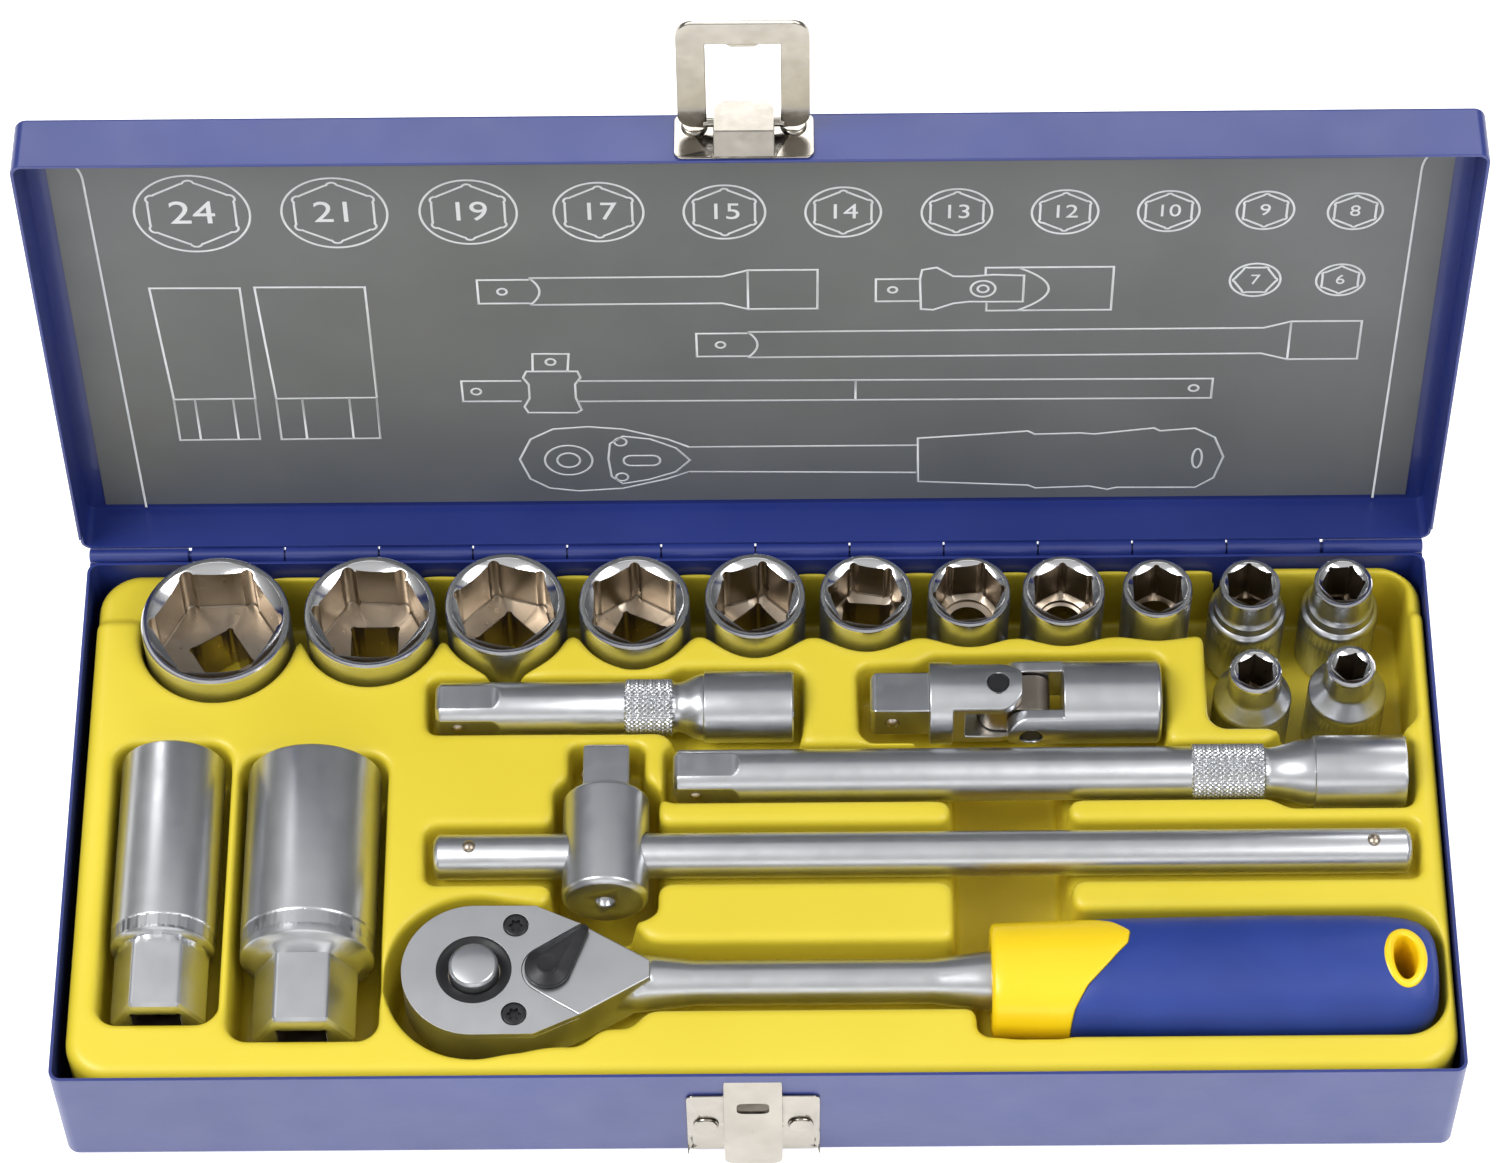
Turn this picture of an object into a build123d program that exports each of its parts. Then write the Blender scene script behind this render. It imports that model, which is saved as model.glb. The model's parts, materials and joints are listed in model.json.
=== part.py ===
"""Socket wrench set in a hinged sheet-steel case: 3/8 inch drive tools in a moulded tray.

Millimetres, +Z up, +Y towards the hinge. The origin is the middle of the case's underside.
"""

import os
from math import asin, cos, degrees, pi, radians, sin, sqrt

from build123d import *

os.makedirs("parts", exist_ok=True)

# ---- case ----
CASE_W = 284.0  # outside, left to right
CASE_D = 123.0  # outside, front to back
BASE_H = 33.5  # underside to rim
SHEET = 0.7
CASE_CORNER_R = 2.5
LID_GAP = 0.5  # between the rim and the lid's skirt
LID_LAP = 1.0  # how far the skirt hangs below the rim
LID_H = 12.6  # lip to outside of the panel
LID_OPEN = 94.5  # degrees from shut to the stop
LINER_T = 0.4

# ---- hinge ----
HINGE_R = 1.7
HINGE_PIN_R = 1.0
HINGE_FIT = 0.05
HINGE_L = 240.0
KNUCKLES = 12
LEAF_T = 0.6
HINGE_Y = CASE_D / 2 + HINGE_R
HINGE_Z = BASE_H

# ---- latch ----
LATCH_X = -1.0
PLATE_W = 27.0
PLATE_T = 0.6
BILL_W = 11.8
RIVET_X = 9.6
RIVET_R = 2.6
RIVET_DOME = 0.7
RIVET_SHANK_R = 1.2
RING_W = 25.6
RING_BAR = 5.6
RING_T = 1.2
RING_L = 29.0
RING_PIN_R = 0.9
RING_PIVOT_Z = BASE_H + 6.2
RING_PIVOT_OUT = 3.1  # in front of the lid's front face

# ---- tray ----
TRAY_Z = 33.0  # top surface
TRAY_X = (-139.4, 140.9)
TRAY_Y = (-60.4, 60.6)
TRAY_WALL = 1.3
TRAY_CORNER_R = 9.0
SHELF_Z = 31.0  # lower surface behind the sockets
SHELF_Y = 47.0
POCKET_GAP = 0.9
FLOOR_GAP = 0.3

# ---- drive ----
DRIVE = 9.5  # square drive, across flats
DRIVE_HOLE = 9.8
DRIVE_L = 10.8
DRIVE_DEPTH = 11.5
BALL_R = 1.6

# ---- upright sockets: size: (x, y, outside diameter, hexagon turn, square turn) ----
SOCKET_TOP = 38.0
SOCKET_H = 28.0
SOCKETS = {
    24: (-113.5, 44.1, 31.4, 2, 32),
    21: (-81.1, 45.9, 27.8, -3, 0),
    19: (-52.7, 47.6, 25.4, -15, 45),
    17: (-25.5, 47.8, 23.4, 30, 30),
    15: (-0.1, 49.2, 21.2, 28, 45),
    14: (23.3, 49.5, 19.5, -8, 0),
    13: (45.0, 49.8, 17.4, 0, 0),
    12: (64.9, 49.9, 17.4, 30, 0),
    10: (84.7, 50.3, 14.7, 30, 0),
    9: (104.2, 51.0, 12.8, 30, 0),
    8: (123.8, 51.3, 12.4, 0, 0),
    7: (104.2, 29.7, 11.0, 2, 0),
    6: (124.1, 30.7, 10.3, 5, 0),
}
STEPPED_UP_TO = 9  # these sizes have a nose narrower than their drive end
SOCKET_BASE_D = 16.4
NOSE_L = 6.5
NOSE_CONE_L = 3.5

# ---- spark-plug sockets: size: (x, far y, near y, outside diameter, drive hexagon) ----
PLUG_Z = 28.5
PLUGS = {16: (-121.3, 14.4, -46.7, 21.5, 17.0), 21: (-91.7, 11.5, -50.6, 27.7, 18.5)}
PLUG_HEX_L = 16.5
PLUG_MOUTH_L = 26.0

# ---- extension bars, lying along X ----
BAR_Z = 31.5
EXT_SHAFT_R = 5.2
EXT_END_R = 7.5
EXT_END_L = 19.0
EXT_NECK_L = 8.5
EXT_75 = (-66.9, 7.9, 25.7)  # tip x, end x, y
EXT_150 = (-17.2, 134.3, 9.0)

# ---- universal joint ----
UJ_Y = 26.2
UJ_R = 8.6
UJ_TIP_X = 23.8
UJ_YOKE_X = 36.2
UJ_PIN_1_X = 50.4
UJ_PIN_2_X = 57.2
UJ_SOCKET_X = 64.0
UJ_END_X = 84.4
UJ_BLOCK = 8.4
UJ_PIN_R = 2.3
UJ_SLOT = 9.2

# ---- sliding T handle ----
TBAR_Y = -9.8
TBAR_R = 4.7
TBAR_X = (-66.3, 134.2)
THEAD_X = -31.0
THEAD_R = 8.9
THEAD_Y = (-20.6, 3.8)

# ---- ratchet ----
RAT_Y = -38.0
RAT_Z = 29.0
RAT_X = -57.2  # drive axis
RAT_R = 14.7
RAT_BOTTOM = RAT_Z - 6.5
RAT_TOP = RAT_Z + 6.5
RAT_NECK_X = -21.6
RAT_SHAFT_R = 4.6
LEVER_X = -42.2
HEAD_FACET_X = -45.0
HEAD_CORNER_X = -35.8
HEAD_CORNER_DY = 10.4
LEVER_CLEAR_R = 5.3
COVER_T = 1.6
CHAMBER_H = 8.0
GEAR_R = 10.4
GEAR_TEETH = 32
GEAR_HUB_R = 7.4
WELL_DEPTH = 5.8  # the button's well in the gear
PAWL_R = 3.8
LEVER_STEM_R = 2.4
BEZEL_R = 7.65
BUTTON_R = 5.0
BUTTON_UP = 2.5  # how far the button stands above the cover
BUTTON_TRAVEL = 2.0
STEM_R = 1.9
SPRING_WIRE_R = 0.3
SPRING_COIL_R = 3.3
SCREW_X = -48.9
SCREW_DY = 10.1
SCREW_R = 2.6
SCREW_SHANK_R = 1.1
FLARE_R = 6.0
TANG_R = 3.6
TANG_L = 62.0

# ---- ratchet handle ----
GRIP_X0 = 47.3
GRIP_X1 = 137.6
GRIP_A = 13.2  # half width
GRIP_B = 10.6  # half height
GRIP_SKIN = 1.4
GRIP_SPLIT_X = 69.5
HANG_X = 130.6
HANG_HOLE = (4.8, 9.6)
HANG_RING = (8.8, 13.6)

hinge_axis = Axis((0, HINGE_Y, HINGE_Z), (-1, 0, 0))


def save(part, label):
    """Names a finished piece and writes its STEP file."""
    part.label = label
    export_step(part, f"parts/{label}.step")


def save_opened(part, label):
    """Swings a lid piece from shut to its open rest place, and writes it."""
    save(part.rotate(hinge_axis, LID_OPEN), label)


# ======================= case =======================
with BuildPart() as case_base:
    with BuildSketch():
        RectangleRounded(CASE_W, CASE_D, CASE_CORNER_R)
    extrude(amount=BASE_H)
    fillet(case_base.faces().sort_by(Axis.Z)[0].edges(), 1.5)
    with BuildSketch(Plane.XY.offset(SHEET)):
        RectangleRounded(CASE_W - 2 * SHEET, CASE_D - 2 * SHEET, CASE_CORNER_R - SHEET)
    extrude(amount=BASE_H, mode=Mode.SUBTRACT)
    with BuildSketch(Plane.XZ.offset(CASE_D / 2 + 1)):
        with Locations((LATCH_X - RIVET_X, 13.5), (LATCH_X + RIVET_X, 13.5)):
            Circle(RIVET_SHANK_R)
    extrude(amount=-3, mode=Mode.SUBTRACT)
save(case_base.part, "case_base")

LID_W = CASE_W + 2 * (LID_GAP + SHEET)
LID_FRONT = -(CASE_D / 2 + LID_GAP + SHEET)
LID_BACK = CASE_D / 2
LID_Z0 = BASE_H - LID_LAP
LID_Z1 = LID_Z0 + LID_H
LID_MID_Y = (LID_FRONT + LID_BACK) / 2
LID_D = LID_BACK - LID_FRONT
RIVET_LID_Z = LID_Z0 + LID_H / 2 + 2.2
with BuildPart() as case_lid:
    with BuildSketch(Plane.XY.offset(LID_Z0)):
        with Locations((0, LID_MID_Y)):
            RectangleRounded(LID_W, LID_D, CASE_CORNER_R)
    extrude(amount=LID_H)
    fillet(case_lid.faces().sort_by(Axis.Z)[-1].edges(), 1.0)
    with BuildSketch(Plane.XY.offset(LID_Z0)):
        with Locations((0, LID_MID_Y)):
            RectangleRounded(LID_W - 2 * SHEET, LID_D - 2 * SHEET, CASE_CORNER_R - SHEET)
    extrude(amount=LID_H - SHEET, mode=Mode.SUBTRACT)
    # the back wall stops above the base's back wall
    with Locations((0, LID_BACK - 2.0, LID_Z0)):
        Box(LID_W + 1, 6.0, 2 * (LID_LAP + 0.5), mode=Mode.SUBTRACT)
    with BuildSketch(Plane.XZ.offset(-LID_FRONT + 1)):
        with Locations((LATCH_X - RIVET_X, RIVET_LID_Z), (LATCH_X + RIVET_X, RIVET_LID_Z)):
            Circle(RIVET_SHANK_R)
    extrude(amount=-3, mode=Mode.SUBTRACT)
save_opened(case_lid.part, "case_lid")

with BuildPart() as lid_liner:
    with Locations((0, 0.5, LID_Z1 - SHEET - LINER_T / 2)):
        Box(277.0, 117.0, LINER_T)
save_opened(lid_liner.part, "lid_liner")


# ======================= hinge =======================
def knuckle_centres(odd):
    """X of every second knuckle along the hinge."""
    pitch = HINGE_L / KNUCKLES
    return [-HINGE_L / 2 + pitch * (i + 0.5) for i in range(odd, KNUCKLES, 2)]


def hinge_leaf(odd, z_low, z_high):
    """A flat leaf on the back face with its knuckles rolled about the pin."""
    length = HINGE_L / KNUCKLES - 0.4
    with BuildPart() as leaf:
        with Locations((0, CASE_D / 2 + LEAF_T / 2, (z_low + z_high) / 2)):
            Box(HINGE_L, LEAF_T, z_high - z_low)
        toward = min(z_low, z_high, key=lambda z: abs(z - HINGE_Z))
        for x in knuckle_centres(odd):
            with Locations((x, CASE_D / 2 + LEAF_T / 2, (toward + HINGE_Z) / 2)):
                Box(length, LEAF_T, abs(toward - HINGE_Z))
            with BuildSketch(Plane.YZ.offset(x - length / 2)):
                with Locations((HINGE_Y, HINGE_Z)):
                    Circle(HINGE_R)
            extrude(amount=length)
        with BuildSketch(Plane.YZ.offset(-HINGE_L / 2 - 1)):
            with Locations((HINGE_Y, HINGE_Z)):
                Circle(HINGE_PIN_R + HINGE_FIT)
        extrude(amount=HINGE_L + 2, mode=Mode.SUBTRACT)
    return leaf.part


save(hinge_leaf(0, 20.0, HINGE_Z - HINGE_R - 0.4), "hinge_base_leaf")
save_opened(hinge_leaf(1, HINGE_Z + HINGE_R + 0.4, LID_Z1 - 1.5), "hinge_lid_leaf")

with BuildPart() as hinge_pin:
    with BuildSketch(Plane.YZ.offset(-HINGE_L / 2 - 1)):
        with Locations((HINGE_Y, HINGE_Z)):
            Circle(HINGE_PIN_R)
    extrude(amount=HINGE_L + 2)
save(hinge_pin.part, "hinge_pin")


# ======================= latch =======================
def y_plane(x, y, z):
    """A sketch plane at y whose normal points to the back."""
    return Plane(origin=(x, y, z), x_dir=(1, 0, 0), z_dir=(0, 1, 0))


def strap(points, width):
    """A bent strip of plate metal, drawn as its centre line in the YZ plane."""
    with BuildPart() as strip:
        with BuildSketch(Plane.YZ.offset(LATCH_X - width / 2)):
            with BuildLine():
                Polyline(*points)
            trace(line_width=PLATE_T)
        extrude(amount=width)
    return strip.part


def rivets(y_face, z):
    """Two domed rivets whose shanks pass through the plate and the sheet."""
    with BuildPart() as pair:
        for side in (-1, 1):
            with BuildSketch(y_plane(LATCH_X + side * RIVET_X, y_face + SHEET, z)):
                Circle(RIVET_SHANK_R)
            extrude(amount=-(PLATE_T + SHEET + 0.2))
            with BuildSketch(y_plane(LATCH_X + side * RIVET_X, y_face - PLATE_T, z)):
                Circle(RIVET_R)
            extrude(amount=-RIVET_DOME)
        fillet(pair.faces().sort_by(Axis.Y)[0:2].edges(), 0.55)
    return pair.part


def latch_plate(y_face, z_low, z_high, rivet_z):
    """Flat plate with its rivet holes, lying on a front face at y_face."""
    with BuildPart() as plate:
        with BuildSketch(Plane.XZ.offset(-y_face)):
            with Locations((LATCH_X, (z_low + z_high) / 2)):
                RectangleRounded(PLATE_W, z_high - z_low, 1.5)
            with Locations((LATCH_X - RIVET_X, rivet_z), (LATCH_X + RIVET_X, rivet_z)):
                Circle(RIVET_SHANK_R, mode=Mode.SUBTRACT)
        extrude(amount=PLATE_T)
    return plate.part


BASE_FACE = -CASE_D / 2
with BuildPart() as base_catch:
    add(latch_plate(BASE_FACE, 1.8, 25.5, 13.5))
    # the hook rises from the plate near its top, folds, and hangs down in front of the ring's bar
    add(
        strap(
            [
                (BASE_FACE - PLATE_T / 2, 24.0),
                (BASE_FACE - PLATE_T / 2, 28.6),
                (BASE_FACE - 4.5, 13.4),
                (BASE_FACE - 4.3, 3.2),
            ],
            BILL_W,
        )
    )
save(base_catch.part, "base_catch")
save(rivets(BASE_FACE, 13.5), "catch_rivets")

with BuildPart() as lid_latch_plate:
    add(latch_plate(LID_FRONT, LID_Z0 + 0.4, LID_Z1 - 1.0, RIVET_LID_Z))
    # the hook rises near the lip and opens towards the panel, over the ring's pin
    add(
        strap(
            [
                (LID_FRONT - PLATE_T / 2, LID_Z0 + 0.6),
                (LID_FRONT - 4.7, LID_Z0 + 3.4),
                (LID_FRONT - 5.0, LID_Z0 + 10.9),
            ],
            BILL_W,
        )
    )
save_opened(lid_latch_plate.part, "lid_latch_plate")
save_opened(rivets(LID_FRONT, RIVET_LID_Z), "lid_rivets")

# The ring stands straight out of the lid's front face at rest, hanging on its round pin bar.
RING_Y = LID_FRONT - RING_PIVOT_OUT
RING_IN = RING_W - 2 * RING_BAR
with BuildPart() as latch_ring:
    with BuildSketch(Plane.XY.offset(RING_PIVOT_Z)):
        with Locations((LATCH_X, RING_Y + 0.8 - RING_L / 2)):
            RectangleRounded(RING_W, RING_L, 3.4)
        with Locations((LATCH_X, RING_Y + 0.8 - (RING_L - RING_BAR) / 2)):
            Rectangle(RING_IN, RING_L - RING_BAR, mode=Mode.SUBTRACT)
    extrude(amount=RING_T / 2, both=True)
    with BuildSketch(Plane.YZ.offset(LATCH_X - RING_IN / 2 - 0.5)):
        with Locations((RING_Y, RING_PIVOT_Z)):
            Circle(RING_PIN_R)
    extrude(amount=RING_IN + 1)
save_opened(latch_ring.part, "latch_ring")


# ======================= tray =======================
def half_widths():
    """Pocket outlines as (x0, x1, y0, y1, floor z) from the tools that lie in them."""
    gap = POCKET_GAP
    rows = []
    for x, far, near, outside, _ in PLUGS.values():
        r = outside / 2
        rows.append((x - r - gap, x + r + gap, near - 1.2, far + 2.4, PLUG_Z - r - FLOOR_GAP))
    for tip, end, y in (EXT_75, EXT_150):
        wide = end - EXT_END_L - EXT_NECK_L
        floor = BAR_Z - EXT_END_R - FLOOR_GAP
        rows.append((tip - 1.5, end + 1.5, y - EXT_SHAFT_R - gap, y + EXT_SHAFT_R + gap, floor))
        rows.append((wide, end + 1.5, y - EXT_END_R - gap, y + EXT_END_R + gap, floor))
    reach = UJ_R + 2.4
    rows.append((UJ_TIP_X - 2.5, UJ_YOKE_X, UJ_Y - 8.8, UJ_Y + 8.8, BAR_Z - UJ_R - 4.0))
    rows.append((UJ_YOKE_X - 2.0, UJ_END_X + 0.9, UJ_Y - reach, UJ_Y + reach, BAR_Z - UJ_R - 4.0))
    bar = TBAR_R + 2.0
    rows.append((TBAR_X[0] - 1.5, TBAR_X[1] + 1.5, TBAR_Y - bar, TBAR_Y + bar, BAR_Z - TBAR_R - FLOOR_GAP))
    head = THEAD_R + 1.8
    rows.append((THEAD_X - head, THEAD_X + head, THEAD_Y[0] - 4.0, THEAD_Y[1] + 3.2, 8.0))
    square = DRIVE / 2 + 3.0
    rows.append((THEAD_X - square, THEAD_X + square, THEAD_Y[1], THEAD_Y[1] + DRIVE_L + 1.5, 20.0))
    grip = GRIP_A + 1.0
    rows.append((GRIP_X0 - 3.0, GRIP_X1 + 1.4, RAT_Y - grip, RAT_Y + grip, RAT_Z - GRIP_B - 0.8))
    shaft = RAT_SHAFT_R + 3.0
    rows.append((RAT_X, GRIP_X0, RAT_Y - shaft, RAT_Y + shaft, RAT_BOTTOM - 1.2))
    rows.append((RAT_X + 7.0, HEAD_CORNER_X + 2.0, RAT_Y - 15.6, RAT_Y + 15.6, RAT_BOTTOM - 1.2))
    rows.append((RAT_X, RAT_NECK_X - 4.0, RAT_Y - 11.6, RAT_Y + 11.6, RAT_BOTTOM - 1.2))
    # finger channel across the bars, and the pocket of the four smallest sockets
    rows.append((40.5, 63.5, RAT_Y + 6.0, UJ_Y - 6.0, 7.0))
    rows.append((94.6, 137.6, 19.6, 58.0, SOCKET_TOP - SOCKET_H - FLOOR_GAP))
    return rows


def round_wells():
    """Round pockets as (x, y, radius, floor z): the upright sockets and the ratchet's head."""
    wells = []
    for size, (x, y, nose, _, _) in SOCKETS.items():
        outside = SOCKET_BASE_D if size <= STEPPED_UP_TO else nose
        wells.append((x, y, outside / 2 + 0.4, SOCKET_TOP - SOCKET_H - FLOOR_GAP))
    wells.append((RAT_X, RAT_Y, RAT_R + 3.4, RAT_BOTTOM - 12.5))
    return wells


TROUGH = (-127.0, 96.0, 47.0, 58.6, SOCKET_TOP - SOCKET_H - FLOOR_GAP)
TRAY_MID = ((TRAY_X[0] + TRAY_X[1]) / 2, (TRAY_Y[0] + TRAY_Y[1]) / 2)
TRAY_SIZE = (TRAY_X[1] - TRAY_X[0], TRAY_Y[1] - TRAY_Y[0])


def pocket_solids(grow, top):
    """Every pocket as one list of solids, each grown by a wall thickness."""
    solids = []
    for x0, x1, y0, y1, floor in half_widths() + [TROUGH]:
        with BuildPart() as well:
            low = max(floor - grow, SHEET + 0.3)
            with BuildSketch(Plane.XY.offset(low)):
                with Locations(((x0 + x1) / 2, (y0 + y1) / 2)):
                    RectangleRounded(x1 - x0 + 2 * grow, y1 - y0 + 2 * grow, 1.5 + grow)
            extrude(amount=top - low)
        solids.append(well.part)
    for x, y, r, floor in round_wells():
        with BuildPart() as well:
            low = max(floor - grow, SHEET + 0.3)
            with BuildSketch(Plane.XY.offset(low)):
                with Locations((x, y)):
                    Circle(r + grow)
            extrude(amount=top - low)
        solids.append(well.part)
    return solids


with BuildPart() as tool_tray:
    with BuildSketch(Plane.XY.offset(SHEET + 0.3)):
        with Locations(TRAY_MID):
            RectangleRounded(*TRAY_SIZE, TRAY_CORNER_R)
    extrude(amount=TRAY_Z - SHEET - 0.3)
    fillet(tool_tray.faces().sort_by(Axis.Z)[-1].edges(), 3.0)
    # hollow underneath, leaving the top skin and the skirt
    with BuildSketch(Plane.XY.offset(SHEET)):
        with Locations(TRAY_MID):
            RectangleRounded(
                TRAY_SIZE[0] - 2 * TRAY_WALL, TRAY_SIZE[1] - 2 * TRAY_WALL, TRAY_CORNER_R - TRAY_WALL
            )
    extrude(amount=SHELF_Z - 2.4 - SHEET, mode=Mode.SUBTRACT)
    # pocket walls, then the pockets themselves
    with BuildPart(mode=Mode.PRIVATE) as walls:
        for solid in pocket_solids(TRAY_WALL, SHELF_Z - 1.0):
            add(solid)
        with BuildSketch(Plane.XY.offset(SHEET)):
            with Locations(TRAY_MID):
                RectangleRounded(*TRAY_SIZE, TRAY_CORNER_R)
        extrude(amount=BASE_H, mode=Mode.INTERSECT)
    add(walls.part)
    for solid in pocket_solids(0, 2 * TRAY_Z):
        add(solid, mode=Mode.SUBTRACT)
    with Locations((0, SHELF_Y + 20, SHELF_Z + 10)):
        Box(2 * CASE_W, 40, 20, mode=Mode.SUBTRACT)
save(tool_tray.part, "tool_tray")


# ======================= upright sockets =======================
def make_socket(size):
    """An upright socket: mouth up, hexagon above a square drive hole."""
    x, y, outside, hex_turn, square_turn = SOCKETS[size]
    z_low = SOCKET_TOP - SOCKET_H
    stepped = size <= STEPPED_UP_TO
    hex_depth = SOCKET_H * (0.5 if size > 14 else 0.42)
    square_depth = SOCKET_H - hex_depth if size >= 14 else DRIVE_DEPTH
    with BuildPart() as socket:
        if stepped:
            with BuildSketch(Plane.XZ):
                with BuildLine():
                    Polyline(
                        (0, z_low),
                        (SOCKET_BASE_D / 2, z_low),
                        (SOCKET_BASE_D / 2, SOCKET_TOP - NOSE_L - NOSE_CONE_L),
                        (outside / 2, SOCKET_TOP - NOSE_L),
                        (outside / 2, SOCKET_TOP),
                        (0, SOCKET_TOP),
                        close=True,
                    )
                make_face()
            revolve(axis=Axis.Z)
        else:
            with BuildSketch(Plane.XY.offset(z_low)):
                Circle(outside / 2)
            extrude(amount=SOCKET_H)
        chamfer(socket.faces().sort_by(Axis.Z)[-1].edges(), 0.5)
        chamfer(socket.faces().sort_by(Axis.Z)[0].edges(), 0.6)
        with BuildSketch(Plane.XY.offset(SOCKET_TOP)):
            RegularPolygon(size / 2 + 0.1, 6, major_radius=False, rotation=hex_turn)
        extrude(amount=-hex_depth, mode=Mode.SUBTRACT)
        with BuildSketch(Plane.XY.offset(SOCKET_TOP)):
            Circle(min(size / sqrt(3) * 1.02, outside / 2 - 0.8))
        extrude(amount=-1.0, taper=45, mode=Mode.SUBTRACT)
        with BuildSketch(Plane.XY.offset(z_low)):
            Circle(min(size, DRIVE) / 2 - 0.3)
        extrude(amount=SOCKET_H, mode=Mode.SUBTRACT)
        with BuildSketch(Plane.XY.offset(z_low)):
            Rectangle(DRIVE_HOLE, DRIVE_HOLE, rotation=square_turn)
        extrude(amount=square_depth, mode=Mode.SUBTRACT)
    return socket.part.moved(Location((x, y, 0)))


for size in SOCKETS:
    save(make_socket(size), f"socket_{size}")


# ======================= spark-plug sockets =======================
def make_plug_socket(size):
    """A long socket lying front to back, its drive end towards the front."""
    x, far, near, outside, drive_hex = PLUGS[size]
    with BuildPart() as plug:
        with BuildSketch(y_plane(x, near, PLUG_Z)):
            RegularPolygon(drive_hex / 2, 6, major_radius=False)
        extrude(amount=PLUG_HEX_L + 3)
        with BuildSketch(y_plane(x, near + PLUG_HEX_L, PLUG_Z)):
            Circle(outside / 2)
        extrude(amount=far - near - PLUG_HEX_L)
        chamfer(plug.faces().sort_by(Axis.Y)[-1].edges(), 0.6)
        with BuildSketch(y_plane(x, far, PLUG_Z)):
            RegularPolygon(size / 2 + 0.1, 6, major_radius=False)
        extrude(amount=-PLUG_MOUTH_L, mode=Mode.SUBTRACT)
        with BuildSketch(y_plane(x, far - PLUG_MOUTH_L, PLUG_Z)):
            Circle(size / 2 - 0.2)
        extrude(amount=-16.0, mode=Mode.SUBTRACT)
        with BuildSketch(y_plane(x, near, PLUG_Z)):
            Rectangle(DRIVE_HOLE, DRIVE_HOLE)
        extrude(amount=DRIVE_DEPTH, mode=Mode.SUBTRACT)
        with BuildSketch(y_plane(x, near, PLUG_Z)):
            Circle(DRIVE / 2 - 0.3)
        extrude(amount=far - near, mode=Mode.SUBTRACT)
    return plug.part


def make_insert(size):
    """The rubber sleeve that grips the plug's insulator, inside the socket's round bore."""
    x, far, _, _, _ = PLUGS[size]
    with BuildPart() as insert:
        with BuildSketch(y_plane(x, far - PLUG_MOUTH_L - 1.0, PLUG_Z)):
            Circle(size / 2 - 0.2)
            Circle(5.2, mode=Mode.SUBTRACT)
        extrude(amount=-13.0)
    return insert.part


for size in PLUGS:
    save(make_plug_socket(size), f"plug_socket_{size}")
    save(make_insert(size), f"plug_insert_{size}")


# ======================= square drives =======================
def x_plane(x, y, z, to_right=True):
    """A sketch plane at x whose normal points right, or left."""
    side = 1 if to_right else -1
    return Plane(origin=(x, y, z), x_dir=(0, 1, 0), z_dir=(side, 0, 0))


def make_ball(centre):
    """A spring-loaded detent ball."""
    with BuildPart() as ball:
        with Locations(centre):
            Sphere(BALL_R)
    return ball.part


def ball_place(tip_x, y):
    """Centre of the ball in the front flat of a square whose tip is at tip_x."""
    return (tip_x + 4.6, y - DRIVE / 2 + 0.9, BAR_Z)


# ======================= extension bars =======================
def make_extension(tip, end, y):
    """A bar with a male square at its left end and a female square at its right end."""
    with BuildPart() as bar:
        with BuildSketch(x_plane(tip, y, BAR_Z)):
            Rectangle(DRIVE, DRIVE)
        extrude(amount=DRIVE_L + 2)
        chamfer(bar.faces().sort_by(Axis.X)[0].edges(), 0.9)
        with BuildSketch(Plane.XY.offset(BAR_Z)):
            with BuildLine():
                Polyline(
                    (tip + DRIVE_L, y),
                    (tip + DRIVE_L, y + EXT_SHAFT_R - 0.6),
                    (tip + DRIVE_L + 1.0, y + EXT_SHAFT_R),
                    (end - EXT_END_L - EXT_NECK_L, y + EXT_SHAFT_R),
                    (end - EXT_END_L, y + EXT_END_R),
                    (end - 0.5, y + EXT_END_R),
                    (end, y + EXT_END_R - 0.5),
                    (end, y),
                    close=True,
                )
            make_face()
        revolve(axis=Axis((0, y, BAR_Z), (1, 0, 0)))
        with BuildSketch(x_plane(end, y, BAR_Z)):
            Rectangle(DRIVE_HOLE, DRIVE_HOLE)
        extrude(amount=-DRIVE_DEPTH, mode=Mode.SUBTRACT)
        with Locations(ball_place(tip, y)):
            Sphere(BALL_R + 0.03, mode=Mode.SUBTRACT)
    return bar.part


for label, (tip, end, y) in {"extension_75": EXT_75, "extension_150": EXT_150}.items():
    save(make_extension(tip, end, y), label)
    save(make_ball(ball_place(tip, y)), f"{label}_ball")


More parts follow.
